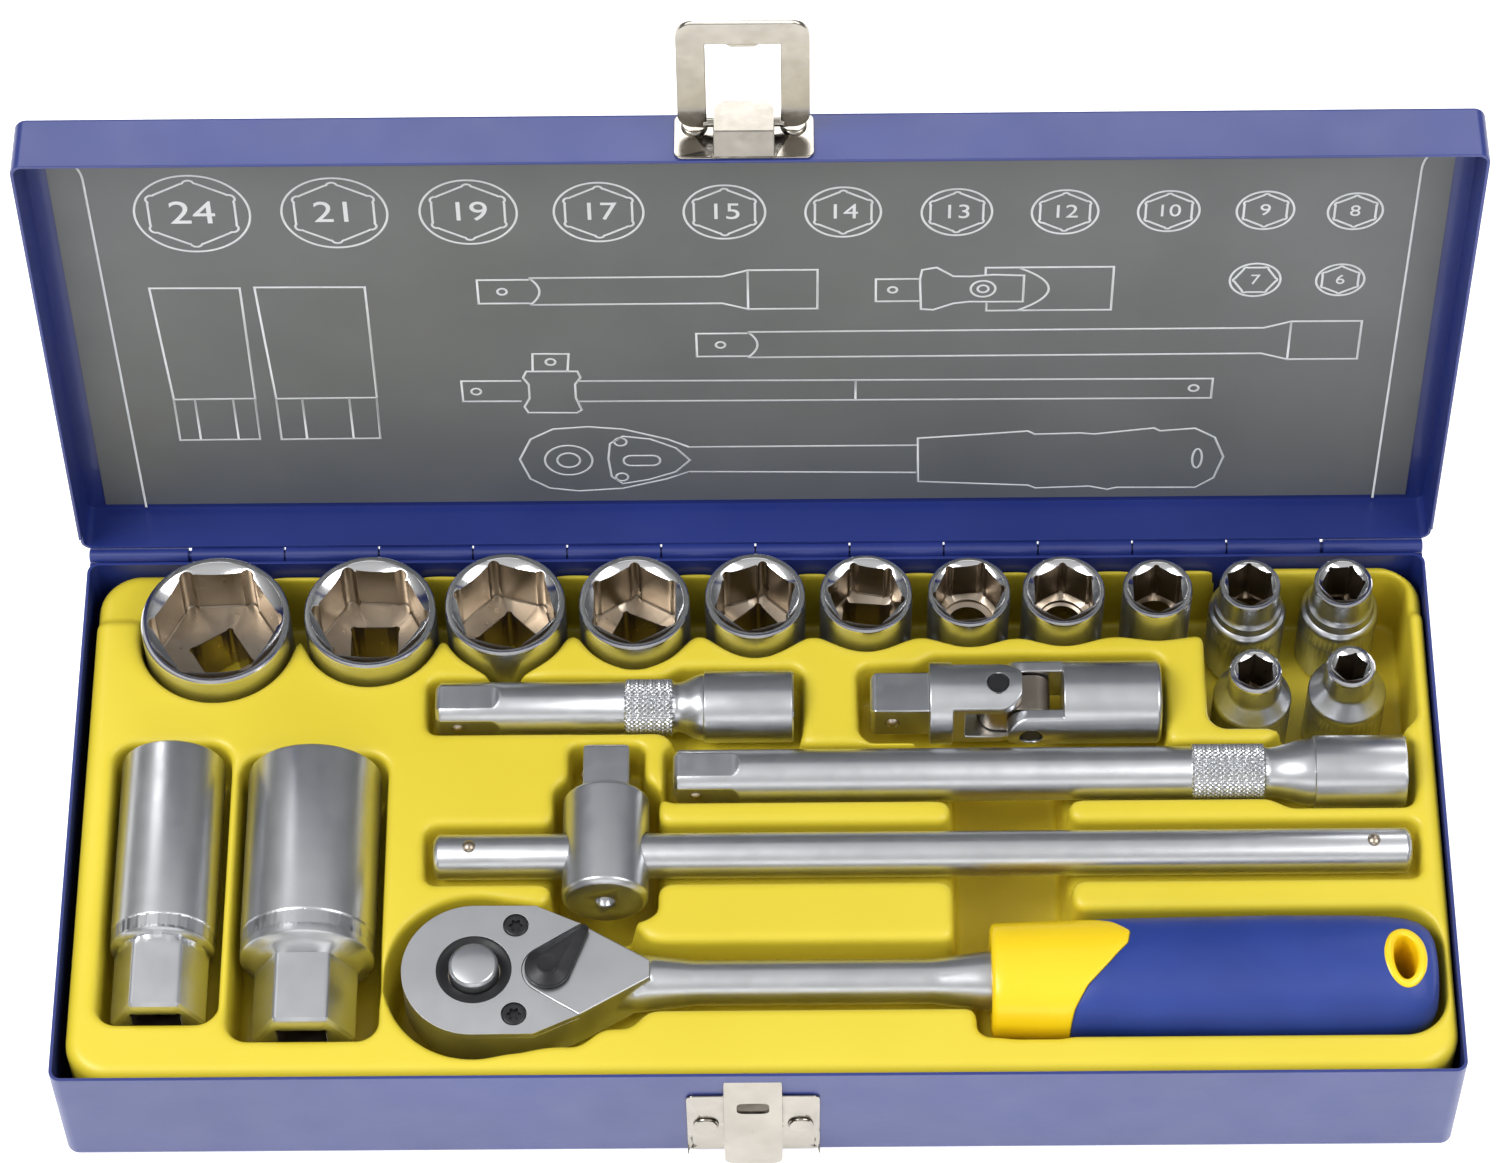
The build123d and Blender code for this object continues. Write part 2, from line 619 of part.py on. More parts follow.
# ======================= universal joint =======================
with BuildPart() as uj_drive_yoke:
    with BuildSketch(x_plane(UJ_TIP_X, UJ_Y, BAR_Z)):
        Rectangle(DRIVE, DRIVE)
    extrude(amount=UJ_YOKE_X - UJ_TIP_X + 1)
    chamfer(uj_drive_yoke.faces().sort_by(Axis.X)[0].edges(), 0.9)
    with BuildSketch(x_plane(UJ_YOKE_X, UJ_Y, BAR_Z)):
        Circle(UJ_R)
    extrude(amount=UJ_PIN_1_X - UJ_YOKE_X + 5.0)
    # ears above and below the block, rounded about the first pin
    with BuildSketch(Plane.XY.offset(BAR_Z - 2 * UJ_R)):
        with BuildLine():
            Polyline((UJ_YOKE_X, UJ_Y + 12), (UJ_YOKE_X, UJ_Y - 12), (80, UJ_Y - 12), (80, UJ_Y + 12), close=True)
        make_face()
        with Locations((UJ_PIN_1_X, UJ_Y)):
            Circle(5.6, mode=Mode.SUBTRACT)
        with Locations(((UJ_YOKE_X + UJ_PIN_1_X) / 2, UJ_Y)):
            Rectangle(UJ_PIN_1_X - UJ_YOKE_X, 11.2, mode=Mode.SUBTRACT)
        with Locations((UJ_YOKE_X + 2.4, UJ_Y)):
            Rectangle(4.8, 24, mode=Mode.SUBTRACT)
    extrude(amount=4 * UJ_R, mode=Mode.SUBTRACT)
    with Locations((UJ_YOKE_X + 7.4 + 10, UJ_Y, BAR_Z)):
        Box(20, 30, UJ_SLOT, mode=Mode.SUBTRACT)
    with Locations((UJ_PIN_1_X, UJ_Y, BAR_Z)):
        Cylinder(UJ_PIN_R, 4 * UJ_R, mode=Mode.SUBTRACT)
    with Locations(ball_place(UJ_TIP_X, UJ_Y)):
        Sphere(BALL_R + 0.03, mode=Mode.SUBTRACT)
save(uj_drive_yoke.part, "uj_drive_yoke")
save(make_ball(ball_place(UJ_TIP_X, UJ_Y)), "uj_ball")

UJ_PIN_LONG = 2 * sqrt(UJ_R**2 - UJ_PIN_R**2) - 0.8
with BuildPart() as uj_block:
    with BuildSketch(Plane.XY.offset(BAR_Z)):
        with Locations((UJ_PIN_1_X, UJ_Y)):
            Circle(UJ_BLOCK / 2)
        with Locations(((UJ_PIN_1_X + UJ_PIN_2_X) / 2, UJ_Y)):
            Rectangle(UJ_PIN_2_X - UJ_PIN_1_X, UJ_BLOCK)
        with Locations((UJ_PIN_2_X, UJ_Y)):
            Rectangle(UJ_BLOCK, UJ_BLOCK)
    extrude(amount=UJ_BLOCK / 2, both=True)
    with Locations((UJ_PIN_1_X, UJ_Y, BAR_Z)):
        Cylinder(UJ_PIN_R + 0.05, 20, mode=Mode.SUBTRACT)
    with Locations((UJ_PIN_2_X, UJ_Y, BAR_Z)):
        Cylinder(UJ_PIN_R, 20, rotation=(90, 0, 0), mode=Mode.SUBTRACT)
    edge_group = uj_block.edges().filter_by(Axis.Y).sort_by(Axis.X)[-2:]
    fillet(edge_group, 3.2)
save(uj_block.part, "uj_block")

with BuildPart() as uj_pin_upright:
    with Locations((UJ_PIN_1_X, UJ_Y, BAR_Z)):
        Cylinder(UJ_PIN_R, UJ_PIN_LONG)
save(uj_pin_upright.part, "uj_pin_upright")

with BuildPart() as uj_pin_cross:
    with Locations((UJ_PIN_2_X, UJ_Y, BAR_Z)):
        Cylinder(UJ_PIN_R, UJ_PIN_LONG, rotation=(90, 0, 0))
save(uj_pin_cross.part, "uj_pin_cross")

with BuildPart() as uj_socket_yoke:
    with BuildSketch(x_plane(UJ_PIN_2_X - 5.0, UJ_Y, BAR_Z)):
        Circle(UJ_R)
    extrude(amount=UJ_END_X - UJ_PIN_2_X + 5.0)
    chamfer(uj_socket_yoke.faces().sort_by(Axis.X)[-1].edges(), 0.6)
    # ears in front and behind, rounded about the second pin
    with BuildSketch(Plane.XZ.offset(-UJ_Y - 2 * UJ_R)):
        with Locations((UJ_PIN_2_X - 10 + UJ_SOCKET_X - UJ_PIN_2_X, BAR_Z)):
            Rectangle(20, 30)
        with Locations((UJ_PIN_2_X, BAR_Z)):
            Circle(5.0, mode=Mode.SUBTRACT)
        with Locations(((UJ_PIN_2_X + UJ_SOCKET_X) / 2, BAR_Z)):
            Rectangle(UJ_SOCKET_X - UJ_PIN_2_X, 10.0, mode=Mode.SUBTRACT)
    extrude(amount=4 * UJ_R, mode=Mode.SUBTRACT)
    with Locations((UJ_SOCKET_X - 10, UJ_Y, BAR_Z)):
        Box(20, UJ_SLOT, 30, mode=Mode.SUBTRACT)
    with Locations((UJ_PIN_2_X, UJ_Y, BAR_Z)):
        Cylinder(UJ_PIN_R + 0.05, 4 * UJ_R, rotation=(90, 0, 0), mode=Mode.SUBTRACT)
    with BuildSketch(x_plane(UJ_END_X, UJ_Y, BAR_Z)):
        Rectangle(DRIVE_HOLE, DRIVE_HOLE)
    extrude(amount=-DRIVE_DEPTH, mode=Mode.SUBTRACT)
save(uj_socket_yoke.part, "uj_socket_yoke")


# ======================= sliding T handle =======================
TBAR_BALLS = ((TBAR_X[0] + 7.4, TBAR_Y), (TBAR_X[1] - 7.9, TBAR_Y))
with BuildPart() as t_bar:
    with BuildSketch(x_plane(TBAR_X[0], TBAR_Y, BAR_Z)):
        Circle(TBAR_R)
    extrude(amount=TBAR_X[1] - TBAR_X[0])
    chamfer(t_bar.faces().sort_by(Axis.X)[0].edges(), 0.7)
    chamfer(t_bar.faces().sort_by(Axis.X)[-1].edges(), 0.7)
    with Locations(*[(x, y, BAR_Z + TBAR_R - 0.9) for x, y in TBAR_BALLS]):
        Sphere(BALL_R + 0.03, mode=Mode.SUBTRACT)
save(t_bar.part, "t_bar")

with BuildPart() as t_bar_balls:
    with Locations(*[(x, y, BAR_Z + TBAR_R - 0.9) for x, y in TBAR_BALLS]):
        Sphere(BALL_R)
save(t_bar_balls.part, "t_bar_balls")

THEAD_BALL = (THEAD_X - DRIVE / 2 + 0.9, THEAD_Y[1] + 5.6, BAR_Z)
with BuildPart() as t_head:
    with BuildSketch(y_plane(THEAD_X, THEAD_Y[0], BAR_Z)):
        Circle(THEAD_R)
    extrude(amount=THEAD_Y[1] - THEAD_Y[0])
    chamfer(t_head.faces().sort_by(Axis.Y)[0].edges(), 1.0)
    chamfer(t_head.faces().sort_by(Axis.Y)[-1].edges(), 1.0)
    with BuildSketch(y_plane(THEAD_X, THEAD_Y[1] - 1, BAR_Z)):
        Rectangle(DRIVE, DRIVE)
    extrude(amount=DRIVE_L + 1)
    chamfer(t_head.faces().sort_by(Axis.Y)[-1].edges(), 0.9)
    with BuildSketch(y_plane(THEAD_X, THEAD_Y[0], BAR_Z)):
        Circle(1.7)
    extrude(amount=3.5, mode=Mode.SUBTRACT)
    with BuildSketch(x_plane(THEAD_X - 20, TBAR_Y, BAR_Z)):
        Circle(TBAR_R + 0.08)
    extrude(amount=40, mode=Mode.SUBTRACT)
    with Locations(THEAD_BALL):
        Sphere(BALL_R + 0.03, mode=Mode.SUBTRACT)
save(t_head.part, "t_head")
save(make_ball(THEAD_BALL), "t_head_ball")


# ======================= ratchet head =======================
def head_outline(plane):
    """The head seen from above: a round end running into facets that close on the neck."""
    with BuildSketch(plane) as outline:
        with BuildLine():
            Polyline(
                (RAT_X, RAT_Y + RAT_R),
                (HEAD_FACET_X, RAT_Y + RAT_R - 0.1),
                (HEAD_CORNER_X, RAT_Y + HEAD_CORNER_DY),
                (RAT_NECK_X, RAT_Y + 2.0),
                (RAT_NECK_X, RAT_Y - 2.0),
                (HEAD_CORNER_X, RAT_Y - HEAD_CORNER_DY),
                (HEAD_FACET_X, RAT_Y - RAT_R + 0.1),
                (RAT_X, RAT_Y - RAT_R),
                close=True,
            )
        make_face()
        with Locations((RAT_X, RAT_Y)):
            Circle(RAT_R)
    return outline.sketch


def lever_side(plane, gap):
    """The V-shaped area round the lever that belongs to the body, not to the cover."""
    with BuildSketch(plane) as area:
        with Locations((LEVER_X, RAT_Y)):
            Circle(LEVER_CLEAR_R + gap)
        with Locations((HEAD_CORNER_X + 10.0 - gap, RAT_Y)):
            Rectangle(20.0, 2 * HEAD_CORNER_DY)
        make_hull()
        with Locations((RAT_NECK_X, RAT_Y)):
            Rectangle(2 * (RAT_NECK_X - HEAD_CORNER_X), 40.0)
    return area.sketch


def cover_solid(gap, low, high):
    """The cover plate's shape between two heights."""
    with BuildPart() as plate:
        add(head_outline(Plane.XY.offset(low)))
        extrude(amount=high - low)
        add(lever_side(Plane.XY.offset(low - 1), gap))
        extrude(amount=high - low + 2, mode=Mode.SUBTRACT)
    return plate.part


def make_ratchet_body():
    """The forged head with its cavity, neck and round shaft."""
    with BuildPart() as body:
        add(head_outline(Plane.XY.offset(RAT_BOTTOM)))
        extrude(amount=RAT_TOP - RAT_BOTTOM)
        chamfer(body.faces().sort_by(Axis.Z)[0].edges(), 1.0)
        # neck and shaft, with a flare where the shaft enters the grip
        with BuildSketch(Plane.XY.offset(RAT_Z)):
            with BuildLine():
                Polyline(
                    (HEAD_CORNER_X - 1.0, RAT_Y),
                    (HEAD_CORNER_X - 1.0, RAT_Y + 6.2),
                    (RAT_NECK_X - 3.0, RAT_Y + 6.0),
                    (RAT_NECK_X + 9.0, RAT_Y + RAT_SHAFT_R),
                    (GRIP_X0 - 12.0, RAT_Y + RAT_SHAFT_R),
                    (GRIP_X0 - 1.0, RAT_Y + FLARE_R),
                    (GRIP_X0 + 2.0, RAT_Y + FLARE_R),
                    (GRIP_X0 + 2.0, RAT_Y + TANG_R),
                    (GRIP_X0 + TANG_L, RAT_Y + TANG_R),
                    (GRIP_X0 + TANG_L, RAT_Y),
                    close=True,
                )
            make_face()
        revolve(axis=Axis((0, RAT_Y, RAT_Z), (1, 0, 0)))
        # seat for the cover, then the gear's chamber and the pawl's pocket opening into it
        add(cover_solid(0, RAT_TOP - COVER_T, RAT_TOP + 1), mode=Mode.SUBTRACT)
        with BuildSketch(Plane.XY.offset(RAT_TOP - COVER_T)):
            with Locations((RAT_X, RAT_Y)):
                Circle(GEAR_R + 0.35)
            with Locations((LEVER_X, RAT_Y)):
                Circle(PAWL_R + 0.4)
            with Locations((LEVER_X - 4.0, RAT_Y)):
                Rectangle(8.0, 2 * PAWL_R + 0.8)
        extrude(amount=-CHAMBER_H, mode=Mode.SUBTRACT)
        with Locations((RAT_X, RAT_Y, RAT_BOTTOM)):
            Cylinder(GEAR_HUB_R + 0.05, 12.0, mode=Mode.SUBTRACT)
        with Locations((LEVER_X, RAT_Y, RAT_TOP)):
            Cylinder(LEVER_STEM_R + 0.06, 2 * COVER_T + 1, mode=Mode.SUBTRACT)
        for side in (-1, 1):
            with Locations((SCREW_X, RAT_Y + side * SCREW_DY, RAT_TOP - COVER_T - 2.5)):
                Cylinder(SCREW_SHANK_R, 5.0, mode=Mode.SUBTRACT)
    return body.part


save(make_ratchet_body(), "ratchet_body")

with BuildPart() as ratchet_cover:
    add(cover_solid(0.05, RAT_TOP - COVER_T, RAT_TOP))
    with Locations((RAT_X, RAT_Y, RAT_TOP)):
        Cylinder(BEZEL_R, 6.0, mode=Mode.SUBTRACT)
    for side in (-1, 1):
        with Locations((SCREW_X, RAT_Y + side * SCREW_DY, RAT_TOP)):
            Cylinder(SCREW_R, 2.0, mode=Mode.SUBTRACT)
            Cylinder(SCREW_SHANK_R, 6.0, mode=Mode.SUBTRACT)
save(ratchet_cover.part, "ratchet_cover")

with BuildPart() as cover_screws:
    for side in (-1, 1):
        with BuildSketch(Plane.XY.offset(RAT_TOP - 1.0)):
            with Locations((SCREW_X, RAT_Y + side * SCREW_DY)):
                Circle(SCREW_R)
        extrude(amount=1.0)
        with BuildSketch(Plane.XY.offset(RAT_TOP - 1.0)):
            with Locations((SCREW_X, RAT_Y + side * SCREW_DY)):
                Circle(SCREW_SHANK_R)
        extrude(amount=-5.0)
        with BuildSketch(Plane.XY.offset(RAT_TOP)):
            with Locations((SCREW_X, RAT_Y + side * SCREW_DY)):
                RegularPolygon(1.2, 6)
        extrude(amount=-0.6, mode=Mode.SUBTRACT)
save(cover_screws.part, "cover_screws")

GEAR_BOTTOM = RAT_TOP - COVER_T - CHAMBER_H + 0.3
GEAR_TOP = RAT_TOP - COVER_T - 0.3
BALL_Z = RAT_BOTTOM - 5.4
with BuildPart() as drive_gear:
    with BuildSketch(Plane.XY.offset(GEAR_BOTTOM)):
        with Locations((RAT_X, RAT_Y)):
            Circle(GEAR_R)
            with PolarLocations(GEAR_R + 0.25, GEAR_TEETH):
                RegularPolygon(0.95, 3, rotation=180, mode=Mode.SUBTRACT)
    extrude(amount=GEAR_TOP - GEAR_BOTTOM)
    with BuildSketch(Plane.XY.offset(GEAR_BOTTOM)):
        with Locations((RAT_X, RAT_Y)):
            Circle(GEAR_HUB_R)
    extrude(amount=-(GEAR_BOTTOM - RAT_BOTTOM + 0.6))
    with BuildSketch(Plane.XY.offset(RAT_BOTTOM)):
        with Locations((RAT_X, RAT_Y)):
            Rectangle(DRIVE, DRIVE)
    extrude(amount=-DRIVE_L - 0.6)
    chamfer(drive_gear.faces().sort_by(Axis.Z)[0].edges(), 0.9)
    with Locations((RAT_X, RAT_Y, RAT_Z)):
        Cylinder(STEM_R + 0.06, 60.0, mode=Mode.SUBTRACT)
    with BuildSketch(Plane.XY.offset(GEAR_TOP)):
        with Locations((RAT_X, RAT_Y)):
            Circle(BUTTON_R + 0.1)
    extrude(amount=-WELL_DEPTH, mode=Mode.SUBTRACT)
    with Locations((RAT_X - DRIVE / 2, RAT_Y, BALL_Z)):
        Cylinder(BALL_R + 0.05, DRIVE - 1, rotation=(0, 90, 0), mode=Mode.SUBTRACT)
save(drive_gear.part, "drive_gear")

BUTTON_LOW = GEAR_TOP - 1.2
with BuildPart() as release_button:
    with BuildSketch(Plane.XY.offset(BUTTON_LOW)):
        with Locations((RAT_X, RAT_Y)):
            Circle(BUTTON_R)
    extrude(amount=RAT_TOP + BUTTON_UP - BUTTON_LOW)
    chamfer(release_button.faces().sort_by(Axis.Z)[-1].edges(), 0.7)
    with BuildSketch(Plane.XY.offset(BUTTON_LOW)):
        with Locations((RAT_X, RAT_Y)):
            Circle(STEM_R)
    extrude(amount=-(BUTTON_LOW - RAT_BOTTOM + 7.2))
    # the stem is waisted beside the ball, so pressing the button lets the ball sink
    with Locations((RAT_X - STEM_R - 0.2, RAT_Y, BALL_Z + BUTTON_TRAVEL / 2)):
        Box(2.6, 5.0, 3.8 + BUTTON_TRAVEL, mode=Mode.SUBTRACT)
save(release_button.part, "release_button")

with BuildPart() as drive_ball:
    with Locations((RAT_X - DRIVE / 2 + 0.9, RAT_Y, BALL_Z)):
        Sphere(BALL_R)
save(drive_ball.part, "drive_ball")

SPRING_Z = GEAR_TOP - WELL_DEPTH + SPRING_WIRE_R
SPRING_H = WELL_DEPTH - 1.2 - 2 * SPRING_WIRE_R
with BuildPart() as button_spring:
    with BuildLine(Plane.XY) as coil:
        Helix(pitch=SPRING_H / 3, height=SPRING_H, radius=SPRING_COIL_R)
    with BuildSketch(Plane(origin=coil.line @ 0, z_dir=coil.line % 0)):
        Circle(SPRING_WIRE_R)
    sweep(path=coil.line)
save(button_spring.part.moved(Location((RAT_X, RAT_Y, SPRING_Z))), "button_spring")

with BuildPart() as button_bezel:
    with BuildSketch(Plane.XZ.offset(-RAT_Y)):
        with BuildLine():
            Polyline(
                (RAT_X + BUTTON_R + 0.35, RAT_TOP - COVER_T + 0.1),
                (RAT_X + BEZEL_R, RAT_TOP - COVER_T + 0.1),
                (RAT_X + BEZEL_R, RAT_TOP),
                (RAT_X + BEZEL_R - 0.5, RAT_TOP),
                (RAT_X + BUTTON_R + 0.35, RAT_TOP - 0.8),
                close=True,
            )
        make_face()
    revolve(axis=Axis((RAT_X, RAT_Y, 0), (0, 0, 1)))
save(button_bezel.part, "button_bezel")

with BuildPart() as reversing_lever:
    with BuildSketch(Plane.XY.offset(RAT_TOP + 0.35)):
        with Locations((LEVER_X, RAT_Y)):
            Circle(4.7)
        with Locations((LEVER_X + 7.0, RAT_Y + 8.4)):
            Circle(1.2)
        make_hull()
    extrude(amount=2.4)
    fillet(reversing_lever.faces().sort_by(Axis.Z)[-1].edges(), 0.6)
    with BuildSketch(Plane.XY.offset(RAT_TOP + 0.35)):
        with Locations((LEVER_X, RAT_Y)):
            Circle(LEVER_STEM_R)
    extrude(amount=-(CHAMBER_H + COVER_T - 0.3))
save(reversing_lever.part, "reversing_lever")

with BuildPart() as pawl:
    with BuildSketch(Plane.XY.offset(RAT_TOP - COVER_T - 0.4)):
        with Locations((LEVER_X, RAT_Y)):
            Circle(PAWL_R)
            Circle(LEVER_STEM_R, mode=Mode.SUBTRACT)
    extrude(amount=-(CHAMBER_H - 0.8))
    with Locations((LEVER_X - PAWL_R, RAT_Y, RAT_TOP - COVER_T - CHAMBER_H / 2)):
        Box(0.7, 2.2, CHAMBER_H, mode=Mode.SUBTRACT)
save(pawl.part, "pawl")

# ======================= ratchet handle =======================
# stations along the grip as (distance from its end, share of full size)
GRIP_SECTIONS = ((90.3, 0.88), (84.0, 0.92), (60.0, 0.98), (34.0, 1.0), (14.0, 0.985), (5.0, 0.92), (1.4, 0.78))
GRIP_TIP = 0.6


def grip_solid(shrink):
    """The oval grip, tapered a little to the front and domed at its end."""
    with BuildPart() as grip:
        for from_end, scale in GRIP_SECTIONS:
            with BuildSketch(x_plane(GRIP_X1 - from_end, RAT_Y, RAT_Z)):
                Ellipse(GRIP_A * scale - shrink, GRIP_B * scale - shrink)
        with BuildSketch(x_plane(GRIP_X1 - shrink / 2, RAT_Y, RAT_Z)):
            Ellipse(GRIP_A * GRIP_TIP - shrink, GRIP_B * GRIP_TIP - shrink)
        loft(ruled=True)
    return grip.part


with BuildPart() as handle_sleeve:
    add(grip_solid(0))
    with BuildPart(mode=Mode.PRIVATE) as skin:
        add(grip_solid(0))
        add(grip_solid(GRIP_SKIN), mode=Mode.SUBTRACT)
        split(bisect_by=Plane.YZ.offset(GRIP_SPLIT_X), keep=Keep.TOP)
    add(skin.part, mode=Mode.SUBTRACT)
    with BuildSketch(x_plane(GRIP_X0 - 1, RAT_Y, RAT_Z)):
        Circle(TANG_R)
    extrude(amount=TANG_L + 1, mode=Mode.SUBTRACT)
    with BuildSketch(x_plane(GRIP_X0 - 1, RAT_Y, RAT_Z)):
        Circle(FLARE_R)
    extrude(amount=3.0, mode=Mode.SUBTRACT)
    with BuildSketch(Plane.XY.offset(RAT_Z - 20)):
        with Locations((HANG_X, RAT_Y)):
            Ellipse(HANG_RING[0] / 2, HANG_RING[1] / 2)
    extrude(amount=40, mode=Mode.SUBTRACT)
save(handle_sleeve.part, "handle_sleeve")

with BuildPart() as handle_grip:
    add(skin.part)
    with BuildSketch(Plane.XY.offset(RAT_Z - 20)):
        with Locations((HANG_X, RAT_Y)):
            Ellipse(HANG_RING[0] / 2, HANG_RING[1] / 2)
    extrude(amount=40, mode=Mode.SUBTRACT)
save(handle_grip.part, "handle_grip")

with BuildPart() as hang_ring:
    with BuildSketch(Plane.XY.offset(RAT_Z - GRIP_B + 1.6)):
        with Locations((HANG_X, RAT_Y)):
            Ellipse(HANG_RING[0] / 2, HANG_RING[1] / 2)
            Ellipse(HANG_HOLE[0] / 2, HANG_HOLE[1] / 2, mode=Mode.SUBTRACT)
    extrude(amount=2 * GRIP_B - 3.2)
save(hang_ring.part, "hang_ring")
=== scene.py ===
import json
import math

import bmesh
import bpy
import numpy as np
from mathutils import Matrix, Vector


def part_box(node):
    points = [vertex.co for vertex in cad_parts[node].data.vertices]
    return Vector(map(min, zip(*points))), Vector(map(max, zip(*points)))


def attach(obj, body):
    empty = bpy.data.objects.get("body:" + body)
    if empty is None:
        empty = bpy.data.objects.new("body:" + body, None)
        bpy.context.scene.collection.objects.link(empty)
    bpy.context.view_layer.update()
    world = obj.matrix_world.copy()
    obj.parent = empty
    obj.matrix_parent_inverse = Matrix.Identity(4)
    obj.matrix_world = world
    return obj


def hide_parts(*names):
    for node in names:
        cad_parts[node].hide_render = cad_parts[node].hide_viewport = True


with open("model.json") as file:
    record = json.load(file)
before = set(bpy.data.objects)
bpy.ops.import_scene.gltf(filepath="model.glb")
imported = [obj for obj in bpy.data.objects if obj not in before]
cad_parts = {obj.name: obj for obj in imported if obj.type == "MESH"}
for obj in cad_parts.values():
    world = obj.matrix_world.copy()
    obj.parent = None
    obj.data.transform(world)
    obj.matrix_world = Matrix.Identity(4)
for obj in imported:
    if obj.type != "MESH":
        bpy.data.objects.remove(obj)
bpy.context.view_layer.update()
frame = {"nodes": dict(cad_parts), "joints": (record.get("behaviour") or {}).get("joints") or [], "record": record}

bpy.context.scene.view_settings.view_transform = "Standard"
MM = 0.001
TAU = 2 * math.pi
nodes = frame["nodes"]
joints = {joint["name"]: joint for joint in frame["joints"]}
node_body = {n: b for b, members in frame["record"]["behaviour"]["bodies"].items() for n in members}
node_slot = {part["node"]: part["material_slot"] for part in frame["record"]["subparts"]}
SIZES = (24, 21, 19, 17, 15, 14, 13, 12, 10, 9, 8, 7, 6)


def box(node):
    """A node's lowest and highest corners in millimetres."""
    low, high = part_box(node)
    return np.array(low) * 1000, np.array(high) * 1000


def middle(node):
    low, high = box(node)
    return (low + high) / 2


def turns(count):
    """Evenly spaced angles once round."""
    return np.linspace(0, TAU, count, endpoint=False)


# ---------------------------------------------------------------- materials
def new_material(name):
    material = bpy.data.materials.new(name)
    material.use_nodes = True
    tree = material.node_tree
    shader = tree.nodes["Principled BSDF"]
    place = tree.nodes.new("ShaderNodeTexCoord")
    return material, tree, shader, place.outputs["Object"]


def noise(tree, place, scale, detail):
    """A noise texture whose scale is in cycles per metre."""
    node = tree.nodes.new("ShaderNodeTexNoise")
    node.inputs["Scale"].default_value = scale
    node.inputs["Detail"].default_value = detail
    tree.links.new(place, node.inputs["Vector"])
    return node.outputs["Fac"]


def ramp(tree, value, stops):
    node = tree.nodes.new("ShaderNodeValToRGB")
    element = node.color_ramp.elements
    while len(element) < len(stops):
        element.new(0.5)
    for item, (at, colour) in zip(element, stops):
        item.position = at
        item.color = (*colour, 1.0) if not np.isscalar(colour) else (colour, colour, colour, 1.0)
    tree.links.new(value, node.inputs["Fac"])
    return node.outputs["Color"]


def bump(tree, height, shader, strength, distance):
    node = tree.nodes.new("ShaderNodeBump")
    node.inputs["Strength"].default_value = strength
    node.inputs["Distance"].default_value = distance
    tree.links.new(height, node.inputs["Height"])
    tree.links.new(node.outputs["Normal"], shader.inputs["Normal"])


def surface(name, dark, light, rough, metallic=0.0, *, spots, grain, grain_depth, coat=0.0):
    """Colour and roughness that drift over the surface, with a fine grain in the normal."""
    material, tree, shader, place = new_material(name)
    drift = noise(tree, place, spots, 4.0)
    tree.links.new(ramp(tree, drift, [(0.3, dark), (0.7, light)]), shader.inputs["Base Color"])
    shine = noise(tree, place, spots * 3.1, 3.0)
    tree.links.new(ramp(tree, shine, [(0.25, rough[0]), (0.75, rough[1])]), shader.inputs["Roughness"])
    shader.inputs["Metallic"].default_value = metallic
    shader.inputs["Coat Weight"].default_value = coat
    shader.inputs["Coat Roughness"].default_value = 0.12
    bump(tree, noise(tree, place, grain, 2.0), shader, 0.6, grain_depth)
    return material


paint = surface(
    "paint", (0.013, 0.026, 0.165), (0.017, 0.033, 0.200), (0.34, 0.46),
    spots=25, grain=500, grain_depth=3e-5, coat=0.25,
)
tray_plastic = surface(
    "tray_plastic", (0.690, 0.550, 0.030), (0.735, 0.595, 0.042), (0.34, 0.44),
    spots=20, grain=1500, grain_depth=8e-6,
)
satin = surface(
    "satin_chrome", (0.55, 0.56, 0.58), (0.61, 0.62, 0.64), (0.28, 0.36), 1.0,
    spots=90, grain=4500, grain_depth=2.5e-6,
)
polished = surface(
    "polished_chrome", (0.66, 0.66, 0.67), (0.70, 0.70, 0.71), (0.10, 0.17), 1.0,
    spots=90, grain=3500, grain_depth=1.5e-6,
)
machined = surface(
    "machined_steel", (0.40, 0.34, 0.27), (0.50, 0.43, 0.35), (0.26, 0.36), 1.0,
    spots=120, grain=3500, grain_depth=3e-6,
)
nickel = surface(
    "nickel", (0.36, 0.335, 0.295), (0.43, 0.40, 0.355), (0.16, 0.28), 1.0,
    spots=150, grain=700, grain_depth=8e-6,
)
black_steel = surface(
    "black_steel", (0.014, 0.014, 0.016), (0.026, 0.026, 0.029), (0.30, 0.45), 0.0,
    spots=200, grain=2600, grain_depth=1.5e-5,
)
black_plastic = surface(
    "black_plastic", (0.012, 0.012, 0.013), (0.018, 0.018, 0.020), (0.35, 0.5),
    spots=150, grain=2600, grain_depth=1.2e-5,
)
rubber = surface(
    "rubber", (0.015, 0.015, 0.015), (0.022, 0.022, 0.022), (0.7, 0.85),
    spots=150, grain=1800, grain_depth=3e-5,
)
yellow_grip = surface(
    "yellow_grip", (0.90, 0.62, 0.006), (0.94, 0.67, 0.010), (0.28, 0.38),
    spots=45, grain=1500, grain_depth=1e-5, coat=0.15,
)
blue_grip = surface(
    "blue_grip", (0.010, 0.034, 0.230), (0.014, 0.044, 0.280), (0.42, 0.54),
    spots=60, grain=3200, grain_depth=2e-5,
)
card = surface(
    "printed_card", (0.115, 0.123, 0.128), (0.140, 0.148, 0.153), (0.38, 0.52),
    spots=30, grain=1400, grain_depth=1e-5,
)
ink = surface(
    "white_ink", (0.60, 0.62, 0.64), (0.70, 0.72, 0.74), (0.45, 0.55),
    spots=200, grain=1400, grain_depth=5e-6,
)
for dull in (black_steel, black_plastic, rubber):
    dull.node_tree.nodes["Principled BSDF"].inputs["Specular IOR Level"].default_value = 0.3
